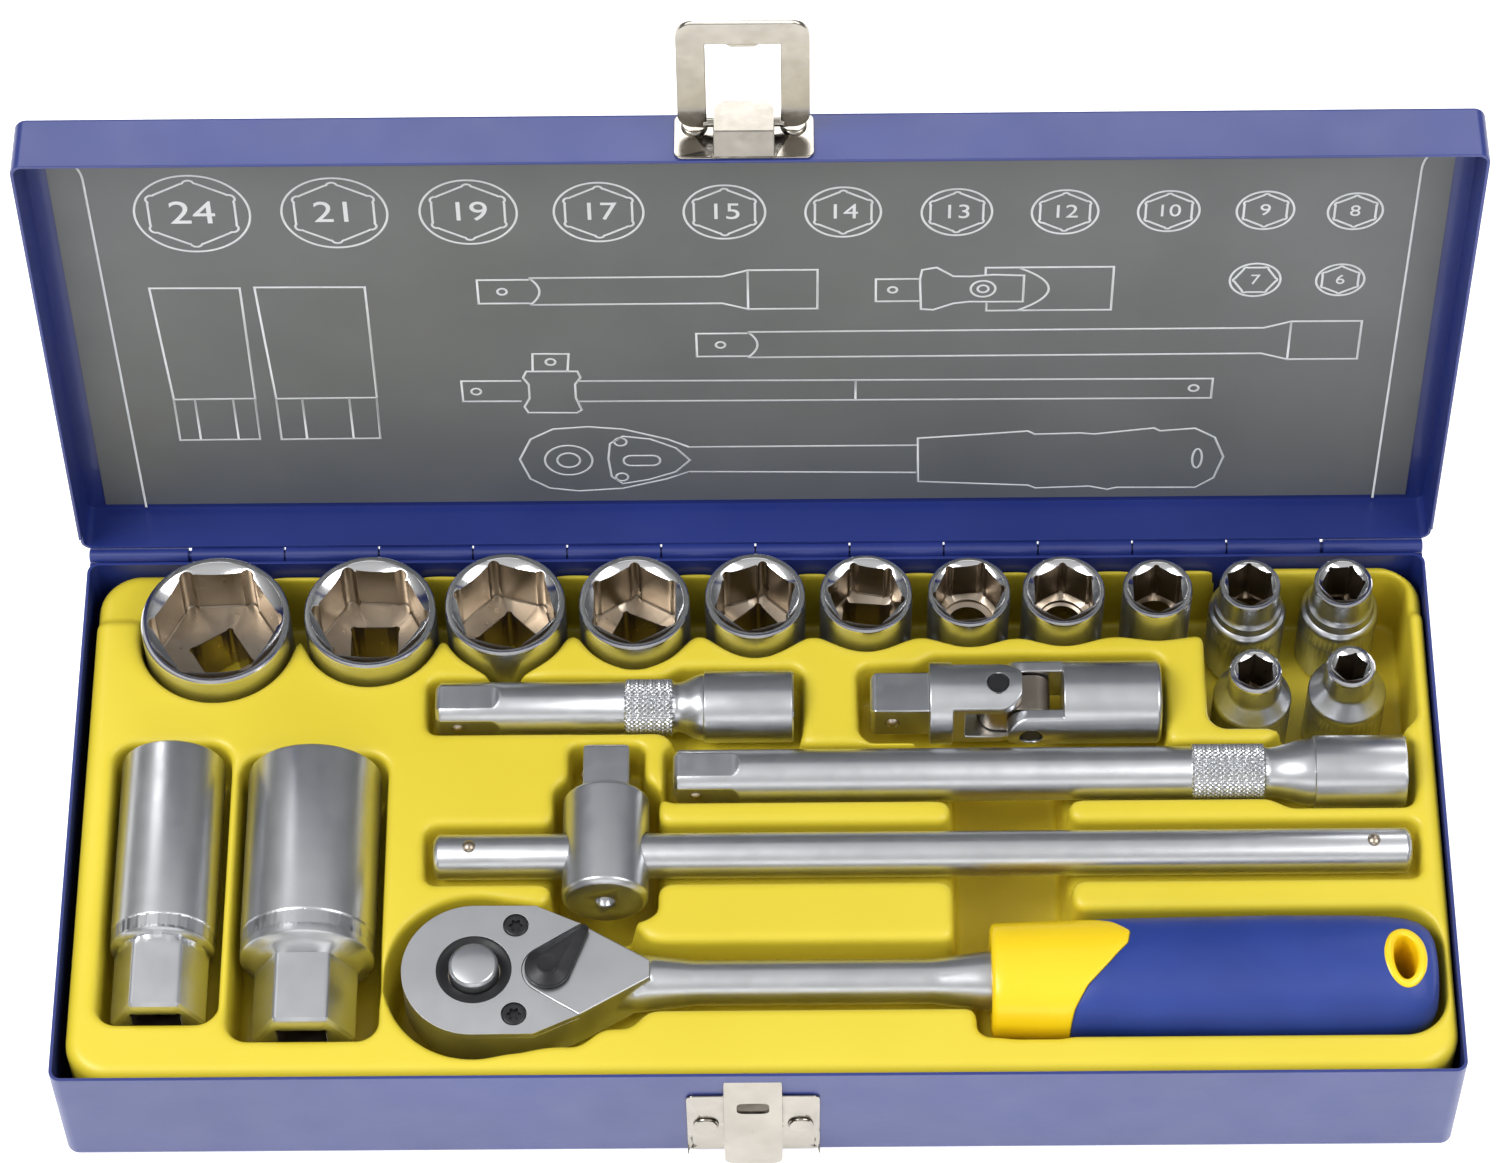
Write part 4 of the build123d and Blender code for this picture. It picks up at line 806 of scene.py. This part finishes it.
def slot_cut(piece):
    """The wide slot near the top of the strap."""
    angles = turns(48)
    half = np.array([3.3, 1.5])
    ways = np.stack([np.cos(angles), np.sin(angles)], 1)
    flat = np.sign(ways) * np.abs(ways) ** 0.45
    rows = []
    for y in (-62.4, -70.0):
        rows.append(
            np.column_stack([LATCH_X + half[0] * flat[:, 0], np.full(48, y), 23.2 + half[1] * flat[:, 1]])
        )
    cut_from(piece, np.concatenate(rows), grid_faces(2, 48, cap=(True, True)), nickel)


slot_cut(catch)

# painted shade: a dark blue strip under the hinge that stands in for the shade seen through the gaps between its
# knuckles, and the plain ends of its barrel
SHADE_STRIP_HALF = 141.8
BARREL_FROM, BARREL_TO = 120.5, 141.6
# painted shade: this strip is no real part of the case, it is put under the hinge so its gaps show dark
shade_strip_profile = [(61.55, 31.1), (65.2, 31.1), (65.5, 31.0), (65.5, 30.4), (65.75, 30.4), (65.75, 31.2)]
shade_strip_profile += [(65.35, 31.5), (61.55, 31.5)]
rows = [[(x, y, z) for y, z in shade_strip_profile] for x in (-SHADE_STRIP_HALF, SHADE_STRIP_HALF)]
mesh = mesh_of("hinge_gap_shade_strip", np.array(rows).reshape(-1, 3), grid_faces(2, len(shade_strip_profile), cap=(True, True)))
finish_piece("hinge_gap_shade_strip", mesh, "base", slot="blue_paint", sharp=40)
for side in (-1, 1):
    angles = turns(48)
    rings = [(side * BARREL_FROM, 1.45), (side * (BARREL_FROM + 0.2), 1.62)]
    rings += [(side * (BARREL_TO - 0.2), 1.62), (side * BARREL_TO, 1.45)]
    origin = (0, HINGE_Y, HINGE_Z)
    mesh = turned_mesh("barrel_end", rings, origin, (1, 0, 0), (0, 1, 0), angles, cap=(True, True))
    finish_piece(f"barrel_end_{'left' if side < 0 else 'right'}", mesh, "base", slot="blue_paint", sharp=40)
refined("latch_ring", 0.2, merge=False)
for node in ("catch_rivets", "lid_rivets"):
    refined(node, 0.2)
# the tongue on the ring's far bar, and the two bumps at its far corners
pivot = np.array(joints["latch_ring"]["pos_m"]) / MM
ring_y, ring_z = shut(pivot)[1], shut(pivot)[2]
tongue = []
for reach, half, lift in ((23.6, 3.4, 0.3), (22.6, 3.2, 0.3), (22.0, 2.6, 0.3), (21.8, 2.2, 0.25)):
    for x, z in ((-half, 0.0), (half, 0.0), (half, lift + 0.35), (-half, lift + 0.35)):
        tongue.append((LATCH_X + x, ring_y - reach, ring_z - 0.45 + z))
finish_piece(
    "ring_tongue", mesh_of("ring_tongue", opened(tongue), grid_faces(4, 4, cap=(True, True))), "ring",
    slot="nickel", sharp=40
)
for side in (-1, 1):
    angles = turns(32)
    rings = [(-0.1, 1.15), (0.35, 1.1), (0.62, 0.8), (0.74, 0.3)]
    points = turned(
        rings, (LATCH_X + side * 9.6, ring_y - 26.2, ring_z + 0.5), (0, 0, 1), (1, 0, 0), angles
    )
    mesh = mesh_of("ring_bump", opened(points.reshape(-1, 3)), grid_faces(4, 32, cap=(True, True)))
    finish_piece(f"ring_bump_{'left' if side < 0 else 'right'}", mesh, "ring", slot="nickel", sharp=0)


# ---------------------------------------------------------------- tray
def smooth_min(a, b, k):
    h = np.clip(k - np.abs(a - b), 0, None) / k
    return np.minimum(a, b) - h * h * k / 4


def flat_box(x, y, x0, x1, y0, y1, r):
    """Signed distance in the plane to a rectangle with rounded corners."""
    qx = np.abs(x - (x0 + x1) / 2) - (x1 - x0) / 2 + r
    qy = np.abs(y - (y0 + y1) / 2) - (y1 - y0) / 2 + r
    return np.minimum(np.maximum(qx, qy), 0) + np.hypot(np.clip(qx, 0, None), np.clip(qy, 0, None)) - r


def well(side, rise, r):
    """Distance to a pocket from its outline distance and height below its floor, with a round foot."""
    a, b = side + r, rise + r
    return np.minimum(np.maximum(a, b), 0) + np.hypot(np.clip(a, 0, None), np.clip(b, 0, None)) - r


STEP = 0.7
tray_low, tray_high = box("tool_tray")
PLATEAU = tray_high[2]
gx = np.arange(tray_low[0] - 1.5, tray_high[0] + 1.5 + STEP, STEP, dtype=np.float32)
gy = np.arange(tray_low[1] - 1.5, tray_high[1] + 1.5 + STEP, STEP, dtype=np.float32)
gz = np.arange(tray_low[2] - 1.5, tray_high[2] + 2.5 + STEP, STEP, dtype=np.float32)
pockets = np.full((len(gx), len(gy), len(gz)), 30.0, np.float32)
DRAFT = 0.06


def dig(shape, x0, x1, y0, y1, floor, blend=1.6, foot=1.5, draft=DRAFT):
    """Adds a pocket to the field. shape(x, y) is its outline's signed distance at the top."""
    i0, i1 = np.searchsorted(gx, [x0 - 8, x1 + 8])
    j0, j1 = np.searchsorted(gy, [y0 - 8, y1 + 8])
    x, y = np.meshgrid(gx[i0:i1], gy[j0:j1], indexing="ij")
    outline = shape(x, y)[:, :, None]
    depth = (PLATEAU - gz)[None, None, :]
    side = outline + draft * depth
    part = well(side, floor - gz[None, None, :], foot).astype(np.float32)
    view = pockets[i0:i1, j0:j1]
    view[...] = smooth_min(view, part, blend)


def dig_box(x0, x1, y0, y1, floor, r=3.0, **more):
    dig(lambda x, y: flat_box(x, y, x0, x1, y0, y1, r), x0, x1, y0, y1, floor, **more)


# sockets: round wells joined by a trough
floor = box("socket_24")[0][2] - 0.2
wells = []
for size in SIZES:
    low, high = box(f"socket_{size}")
    wells.append(((low[0] + high[0]) / 2, (low[1] + high[1]) / 2, (high[0] - low[0]) / 2 + 0.9))


def scallops(x, y):
    field = np.full(x.shape, 50.0)
    for cx, cy, r in wells[:11]:
        field = smooth_min(field, np.hypot(x - cx, y - cy) - r, 3.0)
    trough = flat_box(x, y, wells[0][0] - 4, wells[10][0] + 4, 42.0, tray_high[1] - 1.3, 3.0)
    lean = np.interp(x, [wells[0][0], wells[4][0], wells[8][0], wells[10][0]], [-7.0, -2.2, 0.0, 0.5])
    trough = np.maximum(trough, 41.0 - lean - y)
    return smooth_min(field, trough, 4.0)


dig(scallops, -131.0, 97.0, 26.0, 60.0, floor, blend=1.4, foot=0.8, draft=0.02)
dig_box(94.2, 137.9, 19.4, 58.4, floor, 4.0, foot=0.8, draft=0.02)

# plug sockets: one rounded box each, reaching a little further towards the hinge
for size in (16, 21):
    low, high = box(f"plug_socket_{size}")
    foot_z = low[2] - 0.5
    dig_box(low[0] - 1.6, high[0] + 1.6, low[1] - 1.6, high[1] + 2.6, foot_z, 4.5, blend=3.0)

# the two plain extensions and the joint: wide at the socket end
for node, end_length in (("extension_75", 24.5), ("extension_150", 25.0)):
    low, high = box(node)
    mid = middle(node)
    dig_box(low[0] - 1.9, high[0] - end_length, mid[1] - 6.6, mid[1] + 6.9, low[2] - 0.5, 2.5, blend=4.0)
    dig_box(
        high[0] - end_length - 1, high[0] + 1.9, mid[1] - 8.9, mid[1] + 9.1, low[2] - 0.5, 3.0, blend=4.0
    )
joint_low, joint_high = box("uj_socket_yoke")
drive_low, drive_high = box("uj_drive_yoke")
JY = (joint_low[1] + joint_high[1]) / 2
dig_box(drive_low[0] - 2.6, drive_low[0] + 14.0, JY - 8.9, JY + 8.9, joint_low[2] - 3.5, 3.0, blend=3.0)
dig_box(drive_low[0] + 11.0, joint_high[0] + 1.2, JY - 11.2, JY + 11.2, joint_low[2] - 3.5, 3.5, blend=3.0)

# T handle: bar, head and drive square
bar_low, bar_high = box("t_bar")
head_low, head_high = box("t_head")
BY = (bar_low[1] + bar_high[1]) / 2
HX = (head_low[0] + head_high[0]) / 2
dig_box(bar_low[0] - 1.9, bar_high[0] + 1.9, BY - 6.9, BY + 6.9, bar_low[2] - 0.5, 2.5)
dig_box(HX - 10.9, HX + 10.9, head_low[1] - 4.1, BY + 16.8, 8.5, 3.0, blend=3.0, draft=0.02)
dig_box(HX - 7.9, HX + 7.9, BY + 10.0, head_high[1] + 1.7, 20.0, 2.5, blend=3.0)

# ratchet: round head, neck, shaft and grip, and the hollow for the fingers
ratchet_low, ratchet_high = box("ratchet_body")
RX, RY = ratchet_low[0] + 14.7, AXIS_Y
deck = 21.0  # pocket floor under the ratchet's neck and shaft
dig(lambda x, y: np.hypot(x - RX, y - RY) - 18.4, RX - 19, RX + 19, RY - 19, RY + 19, 10.0, blend=2.0)
dig_box(RX + 7, RX + 23.6, RY - 15.8, RY + 15.8, deck, 4.0, blend=5.0)
dig_box(RX, RX + 33.0, RY - 11.8, RY + 11.8, deck, 3.0, blend=5.0)
dig_box(RX, HEEL_X + 4, RY - 7.8, RY + 7.8, deck, 2.5, blend=5.0)


def grip_bay(x, y):
    bay = flat_box(x, y, HEEL_X - 3.0, TIP_X + 1.6, RY - HALF_Y - 1.1, RY + HALF_Y + 1.3, 9.0)
    return smooth_min(
        bay, flat_box(x, y, HEEL_X - 3.2, HEEL_X + 16, RY - HALF_Y - 1.1, RY + HALF_Y + 1.3, 3.0), 2.0
    )


dig(grip_bay, HEEL_X - 4, TIP_X + 3, RY - 16, RY + 16, grip_low[2] - 0.9, blend=2.0)
dig_box(40.0, 64.5, RY + 5.0, JY - 5.0, 7.5, 5.0, blend=3.0)


def block(x, y, z):
    """The tray's outside: a rounded block whose back strip steps down."""
    outline = flat_box(x, y, tray_low[0], tray_high[0], tray_low[1], tray_high[1], 9.0)
    share = np.clip((y - 46.2) / 2.6, 0, 1)
    top = PLATEAU - 2.0 * share * share * (3 - 2 * share)
    return well(outline, z - top, 3.0)


grid_x, grid_y = np.meshgrid(gx, gy, indexing="ij")
outer = block(grid_x[:, :, None], grid_y[:, :, None], gz[None, None, :]).astype(np.float32)
outer = np.maximum(outer, (1.2 - gz)[None, None, :])
field = -smooth_min(-outer, pockets, 1.9)
del outer, grid_x, grid_y


def surface_net(values, axes):
    """Quads on the zero surface of a sampled field, one point in each cell it passes through."""
    inside = values < 0
    parts = [
        inside[i : i - 1 or None, j : j - 1 or None, k : k - 1 or None] for i, j,
        k in np.ndindex(2, 2, 2)
    ]
    count = sum(part.astype(np.int8) for part in parts)
    cells = np.argwhere((count > 0) & (count < 8))
    number = -np.ones(count.shape, np.int32)
    number[tuple(cells.T)] = np.arange(len(cells))
    total = np.zeros((len(cells), 3))
    hits = np.zeros(len(cells))
    for axis in range(3):
        others = [a for a in range(3) if a != axis]
        for p in (0, 1):
            for q in (0, 1):
                start = cells.copy()
                start[:, others[0]] += p
                start[:, others[1]] += q
                stop = start.copy()
                stop[:, axis] += 1
                a, b = values[tuple(start.T)], values[tuple(stop.T)]
                cross = (a < 0) != (b < 0)
                at = start.astype(float)
                at[:, axis] += np.where(cross, a / np.where(cross, a - b, 1), 0)
                total[cross] += at[cross]
                hits += cross
    spots = total / hits[:, None]
    origin = np.array([a[0] for a in axes])
    points = origin + spots * STEP
    quads = []
    for axis in range(3):
        u, v = (axis + 1) % 3, (axis + 2) % 3
        first = [slice(None)] * 3
        second = [slice(None)] * 3
        first[axis], second[axis] = slice(None, -1), slice(1, None)
        lower, upper = inside[tuple(first)], inside[tuple(second)]
        for flip in (False, True):
            change = (lower & ~upper) if flip else (~lower & upper)
            at = np.argwhere(change)
            around = []
            for du, dv in ((-1, -1), (0, -1), (0, 0), (-1, 0)):
                cell = at.copy()
                cell[:, u] += du
                cell[:, v] += dv
                around.append(number[tuple(cell.T)])
            quad = np.stack(around, 1)
            quads.append(quad if flip else quad[:, ::-1])
    return points, np.concatenate(quads), spots


def tray_look():
    points, quads, spots = surface_net(field, (gx, gy, gz))
    slopes = np.stack(np.gradient(field), -1)
    base = np.floor(spots).astype(int)
    part = spots - base
    normal = np.zeros_like(spots)
    for corner in np.ndindex(2, 2, 2):
        weight = np.prod(np.where(corner, part, 1 - part), axis=1)
        at = np.minimum(base + corner, np.array(field.shape) - 1)
        normal += weight[:, None] * slopes[tuple(at.T)]
    normal /= np.linalg.norm(normal, axis=1)[:, None] + 1e-9
    mesh = bpy.data.meshes.new("tool_tray_look")
    mesh.vertices.add(len(points))
    mesh.vertices.foreach_set("co", (points * MM).ravel())
    mesh.loops.add(quads.size)
    mesh.loops.foreach_set("vertex_index", quads.ravel().astype(np.int32))
    mesh.polygons.add(len(quads))
    mesh.polygons.foreach_set("loop_start", np.arange(0, quads.size, 4, dtype=np.int32))
    mesh.update(calc_edges=True)
    mesh.validate()
    mesh.polygons.foreach_set("use_smooth", np.ones(len(mesh.polygons), bool))
    piece = look("tool_tray", mesh, sharp=0)
    mesh.normals_split_custom_set_from_vertices(normal)
    return piece


tray_look()

# ---------------------------------------------------------------- print on the lid's card
CARD_Z = 44.0


def ribbon(line, width=0.48, closed=True):
    """Points and quads of a thin raised line on the card."""
    line = np.asarray(line, float)
    ahead, behind = np.roll(line, -1, 0) - line, line - np.roll(line, 1, 0)
    if not closed:
        ahead[-1], behind[0] = behind[-1], ahead[0]
    ahead = ahead / np.linalg.norm(ahead, axis=1)[:, None]
    behind = behind / np.linalg.norm(behind, axis=1)[:, None]
    side = np.stack([-(ahead + behind)[:, 1], (ahead + behind)[:, 0]], 1)
    side /= np.linalg.norm(side, axis=1)[:, None]
    stretch = 1 / np.clip(np.abs(np.sum(side * np.stack([-ahead[:, 1], ahead[:, 0]], 1), 1)), 0.5, 1)
    side *= (width / 2 * stretch)[:, None]
    n = len(line)
    low, high = CARD_Z + 0.03, CARD_Z - 0.05
    left, right = line + side, line - side
    rows = [
        np.column_stack([p, np.full(n, z)]) for p,
        z in ((left, low), (left, high), (right, high), (right, low))
    ]
    points = np.stack(rows, 1).reshape(-1, 3)
    faces = []
    for i in range(n if closed else n - 1):
        j = (i + 1) % n
        faces += [(4 * i + k, 4 * j + k, 4 * j + (k + 1) % 4, 4 * i + (k + 1) % 4) for k in range(4)]
    if not closed:
        faces += [(3, 2, 1, 0), (4 * n - 4, 4 * n - 3, 4 * n - 2, 4 * n - 1)]
    return points, faces


def circle(x, y, r, steps=72):
    a = turns(steps)
    return np.column_stack([x + r * np.cos(a), y + r * np.sin(a)])


def rounded(x0, x1, y0, y1, r=1.2):
    points = []
    for cx, cy, start in (
        (x1 - r, y1 - r, 0), (x0 + r, y1 - r, 90), (x0 + r, y0 + r, 180), (x1 - r, y0 + r, 270)
    ):
        a = np.radians(start + np.linspace(0, 90, 6))
        points += list(np.column_stack([cx + r * np.cos(a), cy + r * np.sin(a)]))
    return np.array(points)


PRINT = []


def draw(line, closed=False):
    """Adds a line to the card's print."""
    PRINT.append((line, closed))


SOCKET_MARKS = {
    24: (-111.0, -35.2, 23.0), 21: (-82.7, -35.1, 21.0), 19: (-56.1, -35.0, 19.3),
    17: (-30.2, -34.7, 17.8)
}
SOCKET_MARKS |= {
    15: (-5.2, -34.4, 16.2), 14: (18.4, -34.1, 15.0), 13: (41.0, -33.8, 14.0), 12: (62.5, -33.6, 13.2)
}
SOCKET_MARKS |= {
    10: (83.1, -33.6, 12.2), 9: (102.3, -33.6, 11.4), 8: (120.2, -33.1, 10.9), 7: (101.7, -12.2, 10.2)
}
SOCKET_MARKS |= {6: (118.9, -12.0, 9.7)}
mark_angles = turns(144)
for size, (x, y, across) in SOCKET_MARKS.items():
    draw(circle(x, y, across / 2), True)
    star = polygon_radius(
        mark_angles, across * 0.375, 6, math.radians(30 if size != 7 else 0), across * 0.055
    )
    draw(np.column_stack([x + star * np.cos(mark_angles), y + star * np.sin(mark_angles)]), True)
# the two plug sockets, hexagon ends towards the hinge
for left, right, hex_left, hex_right in ((-121.9, -103.6, -120.5, -103.6), (-100.6, -78.3, -99.2, -78.4)):
    draw([(left, -12.4), (right, -12.2), (right + 0.1, 23.4), (hex_left, 23.5)], True)
    draw([(hex_left, 23.5), (hex_left, 37.1), (hex_right, 37.0), (right, 23.4)])
    for share in (0.26, 0.73):
        x = hex_left + (hex_right - hex_left) * share
        draw([(x, 23.5), (x, 36.9)])


def bow(x, y, half, deep, steps=9):
    """An arc across a bar, bulging to the right."""
    t = np.linspace(-1, 1, steps)
    return np.column_stack([x + deep * (1 - t * t), y + half * t])


def bar_drawing(x0, neck, wide, x1, y, half):
    """A drawing of an extension: square end with its ball, round shaft and socket end."""
    square = [(x0 + 10.5, y - 3.7), (x0, y - 3.7), (x0, y + 3.7), (x0 + 10.5, y + 3.7)]
    draw(square)
    draw(circle(x0 + 4.9, y, 0.95, 24), True)
    draw(bow(x0 + 10.5, y, half, 2.0))
    sides = [
        (x0 + 10.5, y - half), (neck, y - half), (wide, y - 6.1), (x1, y - 6.1), (x1, y + 6.1),
        (wide, y + 6.1)
    ]
    draw(sides + [(neck, y + half), (x0 + 10.5, y + half)])
    draw([(wide, y - 6.1), (wide, y + 6.1)])


bar_drawing(-55.5, -6.0, -0.8, 13.3, -10.4, 4.2)
bar_drawing(-11.5, 104.5, 110.0, 124.4, 7.1, 4.1)
# the universal joint
draw([(34.0, -13.4), (25.1, -13.4), (25.1, -6.4), (34.0, -6.4)])
draw(circle(28.5, -10.0, 0.9, 24), True)
yoke = [
    (34.0, -13.3), (34.4, -16.2), (37.3, -16.9), (40.7, -14.1), (44.2, -14.0), (48.7, -14.5),
    (55.0, -14.2)
]
yoke += [(55.0, -6.0), (48.9, -6.0), (44.2, -6.1), (40.9, -5.6), (36.8, -3.6), (34.3, -3.9)]
draw(yoke, True)
draw(circle(46.8, -10.1, 2.5, 36), True)
draw(circle(46.8, -10.1, 1.1, 24), True)
draw([(47.2, -14.6), (47.2, -16.7), (73.0, -16.7), (73.0, -3.2), (47.6, -3.2), (47.6, -5.8)])
draw(bow(53.9, -9.9, 6.7, 6.2, 17))
# the T handle
draw([(-48.0, 18.3), (-60.4, 18.2), (-60.4, 24.9), (-48.2, 25.0)])
head = [
    (-46.8, 15.2), (-36.3, 15.3), (-35.7, 17.3), (-36.9, 19.5), (-36.9, 24.0), (-35.8, 28.0),
    (-36.8, 29.0)
]
draw(head + [(-47.0, 28.8), (-47.7, 26.8), (-46.5, 24.0), (-46.5, 19.5), (-47.6, 17.2)], True)
draw([(-45.5, 15.2), (-45.3, 9.5), (-37.9, 9.6), (-38.3, 15.3)])
draw([(-36.4, 18.5), (95.1, 19.3), (95.1, 25.7), (-36.3, 25.2)])
draw([(21.2, 18.9), (21.2, 25.4)])
for x, y in ((-57.5, 21.7), (-41.7, 12.2), (91.3, 22.4)):
    draw(circle(x, y, 1.0, 24), True)
# the ratchet
shell = [
    (-13.7, 40.8), (-18.2, 38.1), (-27.4, 34.6), (-34.7, 33.7), (-42.1, 34.4), (-46.9, 37.7),
    (-49.5, 44.5)
]
shell += [(-47.6, 51.2), (-43.6, 54.5), (-37.4, 55.6), (-28.0, 54.8), (-18.5, 51.6), (-13.8, 49.2)]
draw(shell)
draw(circle(-39.2, 45.0, 5.0, 60), True)
draw(circle(-39.2, 45.0, 2.4, 36), True)
shield = [
    (-30.8, 44.5), (-30.3, 39.4), (-27.5, 37.0), (-21.9, 38.0), (-16.5, 41.1), (-13.6, 45.2),
    (-16.6, 49.2)
]
draw(shield + [(-22.3, 51.8), (-28.0, 53.2), (-30.3, 50.6)], True)
for y in (38.9, 50.9):
    draw(circle(-28.1, y, 1.3, 24), True)
draw(rounded(-27.6, -19.9, 43.6, 47.0, 1.6), True)
draw([(-13.7, 40.8), (34.2, 40.8)])
draw([(-13.8, 49.2), (34.2, 50.1)])
grip = [
    (34.4, 38.4), (46.4, 37.4), (57.4, 36.3), (58.9, 37.4), (68.5, 37.1), (71.3, 37.5), (83.8, 35.6),
    (85.1, 36.6)
]
grip += [(92.4, 35.8), (96.7, 38.9), (98.9, 45.4), (97.3, 52.7), (93.6, 56.0), (76.8, 55.8), (74.9, 56.5)]
draw(grip + [(71.1, 55.3), (59.6, 55.8), (58.0, 54.8), (34.6, 53.2)], True)
hole_mark = circle(93.4, 46.0, 1.0, 36)
hole_mark[:, 1] = 46.0 + (hole_mark[:, 1] - 46.0) * 3.2
draw(hole_mark, True)


def border_end(x, sign):
    a = np.radians(np.linspace(0, 90, 8))
    return [(x + sign * 5.0 * (1 - math.cos(t)), -45.2 - 5.0 * math.sin(t)) for t in a]


left_end, right_end = border_end(-131.6, -0.4), border_end(132.2, 0.4)
draw([(-130.0, 60.0)] + left_end)
draw([(131.6, 60.0)] + right_end)
points, faces, start = [], [], 0
for line, closed in PRINT:
    p, f = ribbon(line, closed=closed)
    points.append(p)
    faces += [tuple(start + i for i in face) for face in f]
    start += len(p)
finish_piece(
    "card_print", mesh_of("card_print", opened(np.concatenate(points)), faces), "lid",
    slot="printed_card", material=ink, sharp=0
)
for size, (x, y, across) in SOCKET_MARKS.items():
    text = bpy.data.curves.new(f"size_{size}", "FONT")
    text.body = str(size)
    text.align_x = "CENTER"
    text.align_y = "CENTER"
    text.size = across * 0.42 * MM
    text.extrude = 0.04 * MM
    holder = bpy.data.objects.new(f"size_{size}", text)
    bpy.context.scene.collection.objects.link(holder)
    bpy.context.view_layer.update()
    mesh = bpy.data.meshes.new_from_object(holder.evaluated_get(bpy.context.evaluated_depsgraph_get()))
    bpy.data.objects.remove(holder)
    flat = np.array([v.co for v in mesh.vertices]) / MM
    # read from the front with the lid open: up on the card is towards the shut lid's front
    flat = np.column_stack([x + flat[:, 0], y - flat[:, 1], CARD_Z - flat[:, 2]])
    placed = opened(flat) * MM
    mesh.vertices.foreach_set("co", placed.ravel())
    mesh.update()
    mesh.materials.clear()
    mesh.materials.append(ink)
    piece = bpy.data.objects.new(f"size_mark_{size}", mesh)
    bpy.context.scene.collection.objects.link(piece)
    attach(piece, "lid")

# ---------------------------------------------------------------- room, light and camera
FLOOR_HALF = 6000
corners = [(x * FLOOR_HALF, y * FLOOR_HALF, -0.05) for x, y in ((-1, -1), (1, -1), (1, 1), (-1, 1))]
floor_mesh = mesh_of("floor", corners, [(0, 1, 2, 3)])
floor_piece = bpy.data.objects.new("floor", floor_mesh)
bpy.context.scene.collection.objects.link(floor_piece)
backdrop, tree, shader, place = new_material("backdrop")
shader.inputs["Base Color"].default_value = (0.86, 0.86, 0.86, 1)
shader.inputs["Roughness"].default_value = 0.9
shader.inputs["Emission Color"].default_value = (1, 1, 1, 1)
shader.inputs["Emission Strength"].default_value = 0.75
floor_mesh.materials.append(backdrop)

world = bpy.data.worlds.new("studio")
world.use_nodes = True
sky = world.node_tree.nodes["Background"]
direction = world.node_tree.nodes.new("ShaderNodeTexCoord")
split = world.node_tree.nodes.new("ShaderNodeSeparateXYZ")
world.node_tree.links.new(direction.outputs["Generated"], split.inputs["Vector"])
height = ramp(world.node_tree, split.outputs["Z"], [(0.0, 0.16), (0.35, 0.42), (0.75, 1.0)])
world.node_tree.links.new(height, sky.inputs["Color"])
sky.inputs["Strength"].default_value = 0.7
bpy.context.scene.world = world


def area_light(name, place, aim, size, power, colour=(1, 1, 1)):
    light = bpy.data.lights.new(name, "AREA")
    light.shape = "RECTANGLE"
    light.size, light.size_y = size
    light.energy = power
    light.color = colour
    lamp = bpy.data.objects.new(name, light)
    lamp.location = place
    lamp.rotation_euler = (Vector(aim) - Vector(place)).to_track_quat("-Z", "Y").to_euler()
    bpy.context.scene.collection.objects.link(lamp)


area_light("key", (-0.75, -0.25, 1.15), (0, 0, 0.02), (0.7, 0.5), 11)
area_light("fill", (0.85, -0.35, 1.0), (0, 0, 0.02), (0.7, 0.7), 6)
area_light("back", (0.0, 0.9, 0.9), (0, 0.05, 0.02), (1.6, 0.25), 5)
area_light("front", (0.0, -1.3, 0.55), (0, 0, 0.05), (1.4, 0.4), 2.5)

CAMERA = (6.594, -528.645, 957.011)
PITCH, YAW, ROLL = math.radians(57.686), math.radians(-0.761), math.radians(-1.085)
camera_data = bpy.data.cameras.new("camera")
camera_data.sensor_width = 36
camera_data.lens = 123.80
camera_data.clip_start = 0.05
camera = bpy.data.objects.new("camera", camera_data)
forward = Vector((math.sin(YAW) * math.cos(PITCH), math.cos(YAW) * math.cos(PITCH), -math.sin(PITCH)))
right = Vector((math.cos(YAW), -math.sin(YAW), 0))
up = right.cross(forward)
right, up = math.cos(ROLL) * right + math.sin(ROLL) * up, -math.sin(ROLL) * right + math.cos(ROLL) * up
turn = camera.matrix_world.copy()
for i in range(3):
    turn[i][0], turn[i][1], turn[i][2], turn[i][3] = right[i], up[i], -forward[i], CAMERA[i] * MM
camera.matrix_world = turn
bpy.context.scene.collection.objects.link(camera)
bpy.context.scene.camera = camera
